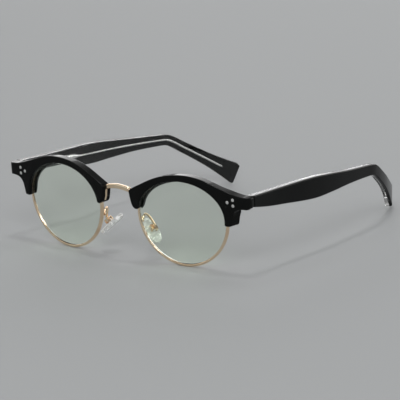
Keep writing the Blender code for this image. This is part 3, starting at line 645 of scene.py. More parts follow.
@dataclass(frozen=True)
class ChampagneMetal(Finish):
    """Champagne-gold plating over a drawn wire: satin, with fine lines and slightly rosier patches."""

    slot: str = "champagne_metal"
    bright: Triple = (0.98, 0.82, 0.60)
    rosy: Triple = (0.80, 0.56, 0.37)
    smoothest: float = 0.07
    patch_scale: float = 120.0
    patch_edges: Pair = (0.3, 0.8)
    line_scale: Triple = (900.0, 5200.0, 900.0)
    speck_scale: float = 3800.0
    line_height: float = 0.00002
    line_strength: float = 0.25

    def surface(self, graph: Graph) -> Value:
        """Patchy colour, fine drawn lines in the roughness and the bump.

        Args:
            graph: where the nodes are drawn.

        Returns:
            The shader.
        """
        patch = graph.noise(self.patch_scale).smooth(*self.patch_edges)
        lines = graph.lines(self.line_scale, 3.0, 0.7)
        speck = graph.noise(self.speck_scale, 2.0, 0.6)
        return graph.principled({
            "Base Color": graph.blend(patch * 0.7 + speck * 0.15, self.bright, self.rosy),
            "Roughness": lines * 0.12 + speck * 0.05 + self.smoothest,
            "Normal": graph.bump(lines * 0.6 + speck * 0.4, self.line_height, self.line_strength),
            "Metallic": 1.0,
        })


@dataclass(frozen=True)
class NickelSilver(Finish):
    """Nickel silver of the rivets, hinges, screws and core wires: pale, lightly brushed."""

    slot: str = "steel"
    bright: Triple = (0.80, 0.80, 0.78)
    dull: Triple = (0.55, 0.55, 0.53)
    smoothest: float = 0.14
    line_scale: Triple = (1200.0, 1200.0, 6000.0)
    spot_scale: float = 1600.0
    spot_edges: Pair = (0.45, 0.8)
    line_height: float = 0.00002
    line_strength: float = 0.25

    def surface(self, graph: Graph) -> Value:
        """Brushed lines and small dull spots.

        Args:
            graph: where the nodes are drawn.

        Returns:
            The shader.
        """
        lines = graph.lines(self.line_scale, 3.0, 0.65)
        spots = graph.noise(self.spot_scale, 3.0, 0.6).smooth(*self.spot_edges)
        return graph.principled({
            "Base Color": graph.blend(spots, self.bright, self.dull),
            "Roughness": lines * 0.16 + spots * 0.12 + self.smoothest,
            "Normal": graph.bump(lines, self.line_height, self.line_strength),
            "Metallic": 1.0,
        })


@dataclass(frozen=True)
class DrawnWire(NickelSilver):
    """The core wires' bright drawn skin, sealed in clear acetate."""

    label: str = "wire"
    bright: Triple = (1.0, 1.0, 0.98)
    dull: Triple = (0.97, 0.97, 0.95)


@dataclass(frozen=True)
class TintedLens(Finish):
    """Demo lens with the faintest grey-green tint; shadows of clear plastic stay light."""

    slot: str = "tinted_lens"
    tint: Triple = (0.905, 0.965, 0.885)
    coat_tint: Triple = (0.895, 0.955, 0.875)
    shade: Triple = (0.86, 0.90, 0.84)
    index: float = 1.5
    coat_scale: float = 60.0
    coat_haze: float = 0.012
    coat_height: float = 0.00001
    coat_strength: float = 0.1

    def surface(self, graph: Graph) -> Value:
        """Clear plastic to the eye and a light filter to shadow rays, with a trace of coating haze.

        Args:
            graph: where the nodes are drawn.

        Returns:
            The shader.
        """
        coat = graph.noise(self.coat_scale, 2.0)
        body = graph.principled({
            "Base Color": graph.blend(coat, self.tint, self.coat_tint),
            "Roughness": coat * self.coat_haze,
            "Normal": graph.bump(coat, self.coat_height, self.coat_strength),
            "IOR": self.index, "Transmission Weight": 1.0,
        })
        return graph.light_in_shadow(body, self.shade)


@dataclass(frozen=True)
class ClearSilicone(Finish):
    """Soft clear pads: milky in moulded streaks, and milky white where the eye grazes them, which is a
    painted highlight.
    """

    slot: str = "silicone"
    cloudy: Triple = (0.90, 0.92, 0.91)
    pale: Triple = (0.97, 0.98, 0.97)
    white: Triple = (1.0, 1.0, 0.99)
    index: float = 1.43
    clearness: float = 0.9
    cloud_scale: float = 260.0
    cloud_edges: Pair = (0.3, 0.8)
    skin_scale: float = 2600.0
    streak_scale: Triple = (900.0, 260.0, 520.0)
    streak_edges: Pair = (0.48, 0.70)
    skin_height: float = 0.00014
    skin_strength: float = 0.8
    # Painted highlight: how the milky white grows where the eye grazes the pad.
    graze_highlight_blend: float = 0.35
    graze_highlight_edges: Pair = (0.15, 0.70)
    least_milk: float = 0.30
    streak_milk: float = 0.7

    def surface(self, graph: Graph) -> Value:
        """A clear and a milky body over one moulded skin, mixed by the streaks' share and by a painted
        highlight that turns the pad milky white where the eye grazes it.

        Args:
            graph: where the nodes are drawn.

        Returns:
            The shader.
        """
        clouds = graph.noise(self.cloud_scale).smooth(*self.cloud_edges)
        skin = graph.noise(self.skin_scale, 2.0)
        streaks = graph.lines(self.streak_scale, 2.0).smooth(*self.streak_edges)
        relief = streaks * 0.5 + skin * 0.2 + clouds * 0.5
        normal = graph.bump(relief, self.skin_height, self.skin_strength)
        clear = graph.principled({
            "Base Color": graph.blend(clouds, self.cloudy, self.pale),
            "Roughness": clouds * 0.05 + skin * 0.03 + 0.02,
            "Normal": normal, "IOR": self.index, "Transmission Weight": self.clearness,
        })
        milk = graph.principled({
            "Base Color": graph.blend(clouds, self.pale, self.white),
            "Roughness": clouds * 0.1 + 0.12,
            "Normal": normal,
        })
        # Painted highlight: milky white where the eye grazes the pad, standing in for the bright rims that
        # lamps give clear silicone.
        facing = graph.node("ShaderNodeLayerWeight", {}, {"Blend": self.graze_highlight_blend})["Facing"]
        share = facing.smooth(*self.graze_highlight_edges) + streaks * self.streak_milk + self.least_milk
        return graph.mix(share, clear, milk)


@dataclass(frozen=True)
class StudioPaper(Finish):
    """Plain pale paper under the glasses, with a barely visible grain. It dresses no piece of theirs."""

    slot: str = "paper"
    tone: Triple = (0.37, 0.38, 0.385)
    grain_scale: float = 900.0
    grain_tone: float = 0.97
    smoothest: float = 0.62
    mirror: float = 0.25

    def surface(self, graph: Graph) -> Value:
        """Matt paper whose tone and roughness follow the grain.

        Args:
            graph: where the nodes are drawn.

        Returns:
            The shader.
        """
        grain = graph.noise(self.grain_scale)
        darker = tuple(channel * self.grain_tone for channel in self.tone)
        return graph.principled({
            "Base Color": graph.blend(grain, darker, self.tone),
            "Roughness": grain * 0.1 + self.smoothest,
            "Specular IOR Level": self.mirror,
        })


BLACK, CLEAR, GOLD = PolishedAcetate(), ClearAcetate(), ChampagneMetal()
NICKEL, WIRE, TINT, SILICONE = NickelSilver(), DrawnWire(), TintedLens(), ClearSilicone()


def dress(piece: bpy.types.Object, finish: Finish, body: str, *nodes: str) -> bpy.types.Object:
    """Gives a piece its finish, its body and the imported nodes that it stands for.

    Args:
        piece: the new piece.
        finish: its finish.
        body: the body that it rides on.
        nodes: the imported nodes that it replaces.

    Returns:
        The piece.
    """
    piece.data.materials.clear()
    piece.data.materials.append(finish.material())
    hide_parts(*nodes)
    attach(piece, body)
    LOG.info("%s rides on %s for %s, %d points", piece.name, body, ", ".join(nodes), len(piece.data.vertices))
    return piece


# The plane of the left lens


@dataclass
class LensPlane:
    """The left lens's plane, with the rim's line and the reach of the brow in it.

    The rim's line is half an ellipse above and half a deeper one below. The brow's reach, crest and depth
    are its size across, up and forward, and the lug's share is the place of its middle below the crest.
    """

    gap_at_nose: float = 0.02223
    half_width: float = 0.02345
    upper: float = 0.0172
    lower: float = 0.0235
    wrap: float = math.radians(6.8)
    lean: float = math.radians(4.2)
    brow_reach: float = 0.03655
    brow_crest: float = 0.0198
    brow_depth: float = 0.0050
    lug_share: float = 0.470
    shift: np.ndarray = field(default_factory=lambda: np.zeros(3))

    @property
    def rotation(self) -> np.ndarray:
        """Upright plane turned by the wrap about the vertical and by the lean about the cross axis."""
        upright = Matrix(((1, 0, 0), (0, 0, -1), (0, 1, 0)))
        return np.array(Matrix.Rotation(self.lean, 3, "X") @ Matrix.Rotation(self.wrap, 3, "Z") @ upright)

    @property
    def origin(self) -> np.ndarray:
        """Middle of the rim at its widest level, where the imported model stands."""
        return np.array([self.gap_at_nose / 2 + self.half_width * math.cos(self.wrap), 0, 0]) + self.shift

    @property
    def lug_level(self) -> float:
        """Level of the lug's middle."""
        return self.brow_crest * self.lug_share

    def line(self, offset: np.ndarray | float, angles: np.ndarray) -> tuple[np.ndarray, np.ndarray]:
        """Points at an offset outside the rim's line, and its outward normals.

        A point is the half width times the cosine and the upper or lower height times the sine, plus the
        normal times the offset; the normal is the cosine and sine, each over its own half size.

        Args:
            offset: distance outside the line, one for all angles or one to an angle as a column.
            angles: angles round the lens, 0 at the temple and rising anticlockwise.

        Returns:
            Points and normals, two columns each.
        """
        height = np.where(np.sin(angles) > 0, self.upper, self.lower)
        across, up = self.half_width * np.cos(angles), height * np.sin(angles)
        normal = unit(np.stack([np.cos(angles) / self.half_width, np.sin(angles) / height], axis=-1))
        return np.stack([across, up], axis=-1) + normal * offset, normal

    def point(self, offset: float, angle: float) -> np.ndarray:
        """One point at an offset outside the rim's line."""
        return self.line(offset, np.array([angle]))[0][0]

    def band(self, profile: np.ndarray, angles: np.ndarray) -> np.ndarray:
        """Grid of a strip along the rim.

        Each point is the line's point, plus the profile's outward part along the normal, plus its forward
        part.

        Args:
            profile: outward and forward parts, two columns.
            angles: angles round the lens.

        Returns:
            The grid, with the angles along its rows and the profile along its columns.
        """
        line, normal = self.line(0, angles)
        return lifted(line[:, None] + normal[:, None] * profile[None, :, :1], profile[:, 1])

    def beyond(self, across: np.ndarray, up: np.ndarray, width: float) -> np.ndarray:
        """Smooth share from 0 at the rim's line to 1 at about that width outside it."""
        height = np.where(up > 0, self.upper, self.lower)
        return ramp(np.hypot(across / self.half_width, up / height), 1, 1 + width / self.half_width)

    def angle(self, level: float) -> float:
        """Angle on the temple side where the line passes a level."""
        return math.asin(level / (self.upper if level > 0 else self.lower))

    def world(self, points: np.ndarray | list[float]) -> np.ndarray:
        """Points of the plane in the model's frame."""
        return np.asarray(points, float) @ self.rotation.T + self.origin

    def seat(self, shell: Shell) -> Shell:
        """A shell of the plane in the model's frame."""
        return shell.placed(self.rotation, self.origin)


# Rims, bridge and brows


@dataclass
class Rims:
    """Grooved rim wires, their closing blocks and the lenses that they hold."""

    plane: LensPlane
    half_thick: float = 0.0006
    half_deep: float = 0.00085
    corner_power: float = 0.42
    groove_depth: float = 0.00045
    groove_mouth: float = 0.0011
    slit: float = 0.0003
    steps: int = 260
    around: int = 36
    block_level: float = 0.0018
    block_bevel: float = 0.00008
    lens_thick: float = 0.0016
    lens_dome: float = 0.0016
    lens_core: float = 0.03
    lens_rings: int = 26
    lens_around: int = 144
    lens_sharp: float = 40.0
    seat_gap: float = 0.0002

    def rim(self) -> Shell:
        """Rounded wire with a V groove inside.

        It is a rounded rectangle whose inner side is pushed outwards by the groove's depth, less as the
        forward place nears the edge of the groove's mouth, along the rim's line from slit to slit.

        Returns:
            The wire in the model's frame.
        """
        profile = superellipse(self.half_thick, self.half_deep, self.around, self.corner_power)
        inner = (profile[:, 0] < 0) * np.clip(1 - np.abs(profile[:, 1]) / (self.groove_mouth / 2), 0, 1)
        profile[:, 0] += inner * self.groove_depth
        level = self.plane.angle(self.block_level)
        slit = self.slit / 2 / self.plane.upper
        angles = np.linspace(level + slit, level - slit + 2 * math.pi, self.steps)
        return self.plane.seat(carried(self.plane.band(profile, angles)))

    def lens(self) -> Shell:
        """Domed lens.

        At a share s of the way out the front stands at the dome times one less s squared, plus the flank,
        the back at the same less the thickness, which thins to the flanks, and the edge between them comes
        to a ridge in the groove.

        Returns:
            The lens in the model's frame.
        """
        turn = np.linspace(0, 2 * math.pi, self.lens_around, endpoint=False)
        edge = self.half_thick + self.seat_gap
        flank = self.groove_mouth / 2 - self.seat_gap
        share = np.linspace(self.lens_core, 1, self.lens_rings)[:, None]
        flat = share[..., None] * self.plane.line(-edge, turn)[0]
        front = self.lens_dome * (1 - share**2) + flank
        back = front - self.lens_thick * (1 - share) - 2 * flank * share
        ridge = lifted(self.plane.line(self.groove_depth - edge, turn)[0][None], 0.0)
        grid = np.vstack([lifted(flat, front), ridge, lifted(flat, back)[::-1]])
        return self.plane.seat(carried(grid, Ends.DOMED))

    def build(self) -> None:
        """Builds and dresses both rims, both lenses and the closing blocks with their screws."""
        held = {"closing_block_lower": GOLD, "closing_block_upper": GOLD, "closing_screw": NICKEL}
        for side in Side:
            word = side.word
            dress(mesh_piece("rim_wire" + word, self.rim().on(side)), GOLD, "front_frame", "rim" + word)
            lens = mesh_piece("demo_lens" + word, self.lens().on(side), self.lens_sharp)
            dress(lens, TINT, "front_frame", "lens" + word)
            for part, finish in held.items():
                copy = bevelled_copy(part + word, "rim_" + part + word, self.block_bevel)
                dress(copy, finish, "front_frame", part + word)


@dataclass
class Bridge:
    """Metal bridge with a strut down each nasal leg.

    The strut's shares are of the brow's reach and crest. The bar's are of the strut's top out, of the rise,
    of the bow and of the way from the strut's width to the bar's height.
    """

    plane: LensPlane
    height: float = 0.0022
    depth: float = 0.0019
    rise: float = 0.0043
    bow: float = 0.0009
    strut: float = 0.0011
    inset: float = 0.0009
    strut_depth_share: float = 0.6
    bevel: float = 0.0001
    bevel_degrees: float = 30.0
    sharp: float = 50.0
    strut_shares: tuple[Pair, ...] = (
        (-0.728, 0.152), (-0.740, 0.195), (-0.749, 0.240), (-0.755, 0.285), (-0.757, 0.325),
    )
    bar_shares: tuple[tuple[float, float, float, float], ...] = (
        (0.996, 0.26, 0.06, 0.25), (0.955, 0.50, 0.16, 0.60), (0.860, 0.70, 0.34, 0.88),
        (0.720, 0.81, 0.54, 1.0), (0.560, 0.88, 0.72, 1.0), (0.380, 0.94, 0.86, 1.0),
        (0.190, 0.98, 0.96, 1.0), (0.000, 1.00, 1.00, 1.0),
    )

    def half(self) -> np.ndarray:
        """Stations from the left strut's foot to the middle of the bar.

        Along the strut the line follows the nasal edge; along the bar it is the strut's top times the share
        out, less the bow, plus the rise. The width is the strut's, plus its share of the way to the height.

        Returns:
            Rows of x, y, z and width.
        """
        strut = np.array(self.strut_shares) * [self.plane.brow_reach, self.plane.brow_crest]
        foot = self.plane.world(lifted(strut, 0.0)) + [self.inset, 0, 0]
        top = foot[-1]
        out, rise, bow, size = np.array(self.bar_shares).T
        bar = np.column_stack([top[0] * out, top[1] - self.bow * bow, top[2] + self.rise * rise])
        wide = self.strut + (self.height - self.strut) * np.concatenate([np.zeros(len(foot)), size])
        return np.column_stack([np.vstack([foot, bar]), wide])

    def shell(self, clearance: float = 0.0, steps: int = 6, around: int = 28) -> Shell:
        """Rounded section carried from the left strut's foot over the bar to the right strut's foot.

        The section's depth is the bar's times a share that rises with the width from the strut's to one.

        Args:
            clearance: how much larger the section is all round.
            steps: points from one station to the next.
            around: points round the section.

        Returns:
            The closed surface.
        """
        half = self.half()
        route = smooth_curve(np.vstack([half, half[-2::-1] * [-1, 1, 1, 1]]), steps)
        path, wide = route[:, :3], route[:, 3]
        forward = np.array([0.0, 1.0, 0.0])
        across = unit(np.cross(forward, unit(np.gradient(path, axis=0))))
        bar_share = (wide - self.strut) / (self.height - self.strut)
        deep = self.depth * (self.strut_depth_share + (1 - self.strut_depth_share) * bar_share)
        half_wide, half_deep = (wide / 2 + clearance)[:, None], (deep / 2 + clearance)[:, None]
        return carried(swept(path, superellipse(1, 1, around), across * half_wide, forward * half_deep))

    def build(self) -> None:
        """Builds and dresses the bridge."""
        piece = mesh_piece("bridge_bar", self.shell(), self.sharp)
        break_edges(piece, self.bevel, self.bevel_degrees)
        dress(piece, GOLD, "front_frame", "bridge")


@dataclass
class Brows:
    """Acetate brows: each covers the top of its rim, with a nasal leg, a temporal leg and a lug.

    The edge's shares are of the brow's reach and crest, from the temporal leg over the lug to the nasal leg.
    A pair named for a start or an end holds the two shares between which a lean or a slope fades.
    """

    plane: LensPlane
    bridge: Bridge
    rims: Rims
    band: float = 0.0026
    edge_round: float = 0.00055
    edge_rings: int = 6
    wall_rings: int = 15
    lip: float = 0.00064
    temporal_lip: float = 0.00054
    lip_turn: Pair = (0.5, 0.9)
    nasal_end: float = 0.0020
    temporal_end: float = 0.0019
    inner_steps: int = 110
    edge_steps: int = 6
    flange: float = 0.0012
    flange_step: float = 0.0004
    flange_lean: float = 1.2
    flange_drop: float = 0.0009
    lobe_points: Pair = (-0.5, 6.0)
    drop_points: Pair = (1.0, 9.0)
    lug_round: float = 0.0030
    top_slope: float = 0.0006
    slope_start: Pair = (0.35, 0.60)
    slope_end: Pair = (0.50, 0.78)
    temporal_flare: float = 0.0020
    flare_end: Pair = (0.18, 0.33)
    nasal_taper: float = 0.0007
    taper_end: Pair = (0.40, 0.60)
    slot_clearance: float = 0.00006
    slot_steps: int = 3
    slot_around: int = 16
    pocket_low: Pair = (-0.0012, -0.0022)
    pocket_high: Pair = (0.0018, 0.0017)
    pocket_front: float = 0.00115
    rivet_radius: float = 0.00074
    rivet_across: float = 0.0029
    rivet_up: float = 0.00275
    rivet_from_end: float = 0.0084
    rivet_tail: float = 0.0011
    rivet_chamfer: float = 0.00008
    rivet_neck: float = 0.0003
    rivet_proud: float = 0.00004
    rivet_dome: float = 0.00014
    rivet_foot: Pair = (0.2, 0.86)
    rivet_around: int = 40
    dome_rings: int = 9
    dome_core: float = 0.04
    rivet_sharp: float = 45.0
    edge_shares: tuple[Pair, ...] = (
        (0.645, -0.116), (0.683, -0.116), (0.710, -0.096), (0.721, -0.040), (0.732, 0.061),
        (0.751, 0.172), (0.781, 0.253), (0.831, 0.303), (0.891, 0.321), (0.962, 0.328),
        (0.992, 0.348), (1.000, 0.404), (1.000, 0.530), (0.992, 0.583), (0.962, 0.606),
        (0.874, 0.622), (0.779, 0.655), (0.689, 0.707), (0.577, 0.778), (0.426, 0.879),
        (0.290, 0.955), (0.145, 0.995), (0.000, 1.000), (-0.145, 0.972), (-0.290, 0.912),
        (-0.432, 0.816), (-0.571, 0.692), (-0.680, 0.592), (-0.742, 0.526), (-0.760, 0.450),
        (-0.752, 0.320), (-0.737, 0.200), (-0.718, 0.122), (-0.690, 0.082), (-0.655, 0.070),
        (-0.632, 0.076),
    )

    def outline(self) -> np.ndarray:
        """The brow seen square on.

        Inside it follows the rim's line, further in by a lip that grows away from the temporal leg, and
        then it goes back over the brow's outer edge.

        Returns:
            Points across and up, those of the inner side first.
        """
        start = math.pi - self.plane.angle(self.nasal_end)
        angles = np.linspace(start, self.plane.angle(-self.temporal_end), self.inner_steps)
        lip = self.temporal_lip + (self.lip - self.temporal_lip) * ramp(angles, *self.lip_turn)
        outer = np.array(self.edge_shares) * [self.plane.brow_reach, self.plane.brow_crest]
        return np.vstack([self.plane.line(-lip[:, None], angles)[0], smooth_curve(outer, self.edge_steps)])

    def layers(self) -> tuple[np.ndarray, np.ndarray]:
        """Levels through the depth, and how far the outline is drawn in at each.

        Near the back and the front it is drawn in by the edge's radius times one less the cosine of a turn
        whose sine gives the depth.

        Returns:
            The levels, from the back to the front, and the insets.
        """
        turn = np.linspace(0, math.pi / 2, self.edge_rings)
        inset = self.edge_round * (1 - np.cos(turn))
        deep = self.plane.brow_depth / 2 - self.edge_round * (1 - np.sin(turn))
        middle = np.linspace(-deep[0], deep[0], self.wall_rings)[1:-1]
        level = np.concatenate([-deep[::-1], middle, deep])
        return level, np.concatenate([inset[::-1], np.zeros(len(middle)), inset])

    def flanged(self, flat: np.ndarray, level: np.ndarray) -> np.ndarray:
        """The layers with a flange behind the lens, which covers the rim's back from the eye.

        Behind the rim the inner side moves in by the flange, times the root of a ramp on the number of
        points from its nearer end, and its nasal end moves down by the drop, times a ramp of its own.

        Args:
            flat: points of each layer, across and up.
            level: level of each layer.

        Returns:
            The moved points.
        """
        inner = flat[:, :self.inner_steps]
        behind = ramp(-level, self.rims.half_deep, self.rims.half_deep + self.flange_step)[:, None]
        from_end = np.arange(self.inner_steps)
        lobe = np.sqrt(ramp(np.minimum(from_end, from_end[::-1]), *self.lobe_points))
        inner = inner - unit(inner * [1, self.flange_lean]) * (self.flange * behind * lobe)[..., None]
        inner[..., 1] -= self.flange_drop * behind * (1 - ramp(from_end, *self.drop_points))
        return np.concatenate([inner, flat[:, self.inner_steps:]], axis=1)

    def shell(self) -> Shell:
        """The outline carried through the depth.

        Outside the rim the top slopes to the back, the temporal leg flares to the back and the nasal leg
        tapers to the front, each by its size times its share of the depth and a ramp on the share of the
        crest. The lug's front corner follows a quarter circle seen from above.

        Returns:
            The brow in its plane.
        """
        outline, depth = self.outline(), self.plane.brow_depth
        level, inset = self.layers()
        ahead = unit(np.roll(outline, -1, axis=0) - outline)
        inward = np.stack([-ahead[:, 1], ahead[:, 0]], axis=-1)
        mitre = unit(inward + np.roll(inward, 1, axis=0))
        flat = self.flanged(outline[None] + mitre[None] * inset[:, None, None], level)
        across, up = flat[..., 0], flat[..., 1]
        forward = np.broadcast_to(level[:, None], across.shape)
        outside = self.plane.beyond(across, up, self.band)
        back, share = (depth / 2 - forward) / depth, up / self.plane.brow_crest
        sloped = 1 - ramp(across / self.plane.brow_reach, *self.slope_end)
        up = up - self.top_slope * back * outside * sloped * ramp(share, *self.slope_start)
        flare = self.temporal_flare * back * (1 - ramp(share, *self.flare_end))
        taper = self.nasal_taper * (1 - back) * (1 - ramp(share, *self.taper_end))
        across = across + np.where(across > 0, flare, taper) * outside
        past_corner = np.maximum(forward - (depth / 2 - self.lug_round), 0)
        corner = np.sqrt(np.maximum(self.lug_round**2 - past_corner**2, 0))
        limit = self.plane.brow_reach - self.lug_round + corner
        return carried(np.stack([np.minimum(across, limit), up, forward], axis=-1))

    def pocket(self) -> Shell:
        """Block-shaped pocket behind the rim's closing blocks, open at the back.

        Returns:
            The pocket in its plane.
        """
        edge, level = self.rims.half_thick + self.rims.seat_gap, self.rims.block_level
        start = np.array([self.plane.point(edge, self.plane.angle(level))[0], level])
        low, high = start + self.pocket_low, start + self.pocket_high
        corners = np.array([low, (high[0], low[1]), high, (low[0], high[1])])
        ends = np.array([[-self.plane.brow_depth], [self.pocket_front]])
        return carried(lifted(np.broadcast_to(corners, (2, 4, 2)), ends))

    def rivet_places(self) -> dict[str, Pair]:
        """Across and up of each rivet: one towards the lens, two beyond it.

        Returns:
            The places by the rivets' names.
        """
        outer, middle = self.plane.brow_reach - self.rivet_from_end, self.plane.lug_level
        return {"inner": (outer - self.rivet_across, middle), "upper": (outer, middle + self.rivet_up / 2),
                "lower": (outer, middle - self.rivet_up / 2)}

    def rivet(self, place: Pair) -> Shell:
        """Rivet through the brow.

        It is a pin whose front end is a low dome, its height one less the square of the radius's share, and
        whose back end is peened flat over the hinge's leaf.

        Args:
            place: across and up of its axis.

        Returns:
            The rivet in the model's frame.
        """
        radius, front = self.rivet_radius, self.plane.brow_depth / 2
        back = -front - self.rivet_tail
        share = np.linspace(1, self.dome_core, self.dome_rings)
        dome = np.column_stack([radius * share, front + self.rivet_proud + self.rivet_dome * (1 - share**2)])
        foot = [(radius * size, back) for size in self.rivet_foot]
        pin = [(radius, back + self.rivet_chamfer), (radius, front - self.rivet_neck)]
        shell = turned(np.vstack([foot, pin, dome]), self.rivet_around)
        return self.plane.seat(Shell(shell.points + [*place, 0], shell.faces))

    def build(self) -> None:
        """Builds both brows, cuts the bridge's slot and the block's pocket, and sets the rivets."""
        for side in Side:
            word = side.word
            piece = mesh_piece("polished_brow" + word, self.plane.seat(self.shell()).on(side))
            strut = self.bridge.shell(self.slot_clearance, self.slot_steps, self.slot_around)
            slot = mesh_piece("slot" + word, strut)
            pocket = mesh_piece("pocket" + word, self.plane.seat(self.pocket()).on(side))
            carve(piece, [slot, pocket])
            dress(piece, BLACK, "front_frame", "brow" + word)
            for name, place in self.rivet_places().items():
                rivet = mesh_piece(f"domed_rivet_{name}{word}", self.rivet(place).on(side), self.rivet_sharp)
                dress(rivet, NICKEL, "front_frame", f"front_rivet_{name}{word}")


# Temples and hinges


@dataclass
class Temples:
    """Laminated temples: black acetate outside, clear inside, with a core wire between them.

    The route's shares are of the reach back, the tuck inwards, the drop, the height and the thickness. A
    pair named for the blade, the wire or the tip holds the shares of the reach between which it changes.
    """

    plane: LensPlane
    reach: float = 0.1394
    tuck: float = 0.0216
    drop: float = 0.0300
    height: float = 0.0100
    thick: float = 0.0038
    lining: float = 0.0017
    laminate: float = 0.0001
    overlap: float = 0.00005
    lining_play: float = 0.00003
    butt_gap: float = 0.0003
    outer_round: float = 0.0006
    inner_round: float = 0.0005
    glued_round: float = 0.00004
    lining_glued_round: float = 0.00002
    corner_steps: int = 7
    wire_radius: float = 0.00052
    wire_depth: float = 0.00065
    wire_power: float = 0.8
    wire_sharp: float = 50.0
    wire_span: Pair = (0.12, 0.957)
    wire_start: Pair = (0.118, 0.126)
    wire_start_size: float = 0.5
    wire_end: Pair = (0.95, 0.957)
    wire_end_size: float = 0.4
    wire_around: int = 20
    blade_rise: float = 0.00095
    blade_end: Pair = (0.262, 0.300)
    tip_bulge: float = 0.0018
    tip_cut: float = 0.0011
    tip: Pair = (0.90, 1.0)
    steps: int = 10
    route_shares: tuple[tuple[float, float, float, float, float], ...] = (
        (0.000, 0.000, 0.000, 0.53, 1.00), (0.085, 0.028, 0.040, 0.70, 1.00),
        (0.172, 0.041, 0.066, 0.82, 1.00), (0.339, 0.052, 0.113, 1.01, 0.98),
        (0.454, 0.080, 0.134, 0.87, 0.95), (0.570, 0.146, 0.158, 0.66, 0.91),
        (0.686, 0.234, 0.190, 0.56, 0.87), (0.735, 0.275, 0.213, 0.54, 0.86),
        (0.766, 0.318, 0.266, 0.54, 0.85), (0.806, 0.394, 0.378, 0.55, 0.85),
        (0.860, 0.525, 0.530, 0.60, 0.86), (0.918, 0.700, 0.705, 0.70, 0.88),
        (0.975, 0.892, 0.886, 0.92, 0.89), (0.994, 0.972, 0.952, 1.02, 0.87),
        (1.000, 1.000, 0.972, 0.98, 0.80),
    )

    def lug_end(self) -> np.ndarray:
        """Back outer end of the lug."""
        return self.plane.world([self.plane.brow_reach, self.plane.lug_level, -self.plane.brow_depth / 2])

    def route(self) -> np.ndarray:
        """Centre line of the temple.

        It is the lug's end, less the tuck's share inwards, plus the reach's share back, less the drop's
        share down.

        Returns:
            Rows of x, y, z, height, thickness and share of the reach.
        """
        back, tuck, drop, height, thick = np.array(self.route_shares).T
        start = self.lug_end() + [-self.thick / 2, self.butt_gap, 0]
        line = [start[0] - self.tuck * tuck, start[1] + self.reach * back, start[2] - self.drop * drop]
        sizes = [self.height * height, self.thick * thick, back]
        return smooth_curve(np.column_stack([*line, *sizes]), self.steps)

    def layer(self, section: np.ndarray, route: np.ndarray) -> Shell:
        """One layer of the laminate.

        Each point is the line's point plus the section's part outwards and its part up. The rear end is
        slid back along the line by the bulge times one less the square of the share of the half height,
        less the cut times that square above the middle. The front end lies a gap behind the lug's back face.

        Args:
            section: outward and upward parts at each station.
            route: the centre line's rows.

        Returns:
            The closed surface.
        """
        outward, upward = path_frames(route[:, :3], UP)
        grid = route[:, None, :3] + section[..., :1] * outward[:, None] + section[..., 1:] * upward[:, None]
        level = section[..., 1] / section[..., 1].max(axis=1, keepdims=True)
        curve = self.tip_bulge * (1 - level**2) - self.tip_cut * np.clip(level, 0, 1) ** 2
        tail = ramp(route[:, 5], *self.tip)[:, None, None] * curve[..., None]
        grid += tail * unit(np.gradient(route[:, :3], axis=0))[:, None]
        normal = self.plane.rotation @ [0, 0, 1]
        offset = (grid[0] - self.lug_end())[:, [0, 2]] @ normal[[0, 2]]
        grid[0, :, 1] = self.lug_end()[1] - offset / normal[1] + self.butt_gap
        return carried(grid)

    def rounded(self, low: np.ndarray, high: np.ndarray, top: np.ndarray, radii: Pair) -> np.ndarray:
        """Section between two depths whose corners are quarter circles.

        Args:
            low: inner depth at each station.
            high: outer depth at each station.
            top: half the height at each station.
            radii: radius of the two inner corners, and of the two outer ones.

        Returns:
            The section's points at each station.
        """
        arc = np.linspace(0, math.pi / 2, self.corner_steps)
        inner, outer = (-1, low, radii[0]), (1, high, radii[1])
        corners = []
        for quarter, (wide, edge, radius) in enumerate((outer, inner, inner, outer)):
            tall = 1 if quarter < 2 else -1
            turn = arc + quarter * math.pi / 2
            corners.append(np.stack([edge[:, None] - wide * radius + radius * np.cos(turn),
                                     tall * (top[:, None] - radius) + radius * np.sin(turn)], axis=-1))
        return np.concatenate(corners, axis=1)

    def black(self, route: np.ndarray) -> Shell:
        """Outer layer: from the glue line out to the temple's thickness.

        Args:
            route: the centre line's rows.

        Returns:
            The closed surface.
        """
        inside = np.full(len(route), self.lining - self.thick / 2 + self.laminate)
        outside = route[:, 4] - self.thick / 2
        radii = (self.glued_round, self.outer_round)
        return self.layer(self.rounded(inside, outside, route[:, 3] / 2, radii), route)

    def clear(self, route: np.ndarray) -> Shell:
        """Inner layer, reaching a hair's breadth into the black one, so that no air lies between them.

        Args:
            route: the centre line's rows.

        Returns:
            The closed surface.
        """
        inside = np.full(len(route), -self.thick / 2)
        outside = inside + self.lining + self.laminate + self.overlap
        radii = (self.inner_round, self.lining_glued_round)
        return self.layer(self.rounded(inside, outside, route[:, 3] / 2 - self.lining_play, radii), route)

    def wire(self, route: np.ndarray) -> Shell:
        """Core wire inside the clear layer.

        Its half height is a blade's by the hinge and falls in a short arrow head to the wire's radius, and
        its half thickness is the wire's radius. Both ends are drawn in.

        Args:
            route: the centre line's rows.

        Returns:
            The closed surface.
        """
        start, end = self.wire_span
        cored = route[(route[:, 5] > start) & (route[:, 5] < end)]
        share = cored[:, 5]
        start_size = self.wire_start_size + (1 - self.wire_start_size) * ramp(share, *self.wire_start)
        end_size = 1 - (1 - self.wire_end_size) * ramp(share, *self.wire_end)
        drawn = np.minimum(start_size, end_size)
        deep = self.wire_radius * drawn
        tall = (self.wire_radius + self.blade_rise * (1 - ramp(share, *self.blade_end))) * drawn
        outward, upward = path_frames(cored[:, :3], UP)
        path = cored[:, :3] + outward * (self.lining - self.thick / 2 - self.wire_depth)
        section = superellipse(1, 1, self.wire_around, self.wire_power)
        return carried(swept(path, section, outward * deep[:, None], upward * tall[:, None]), Ends.DOMED)

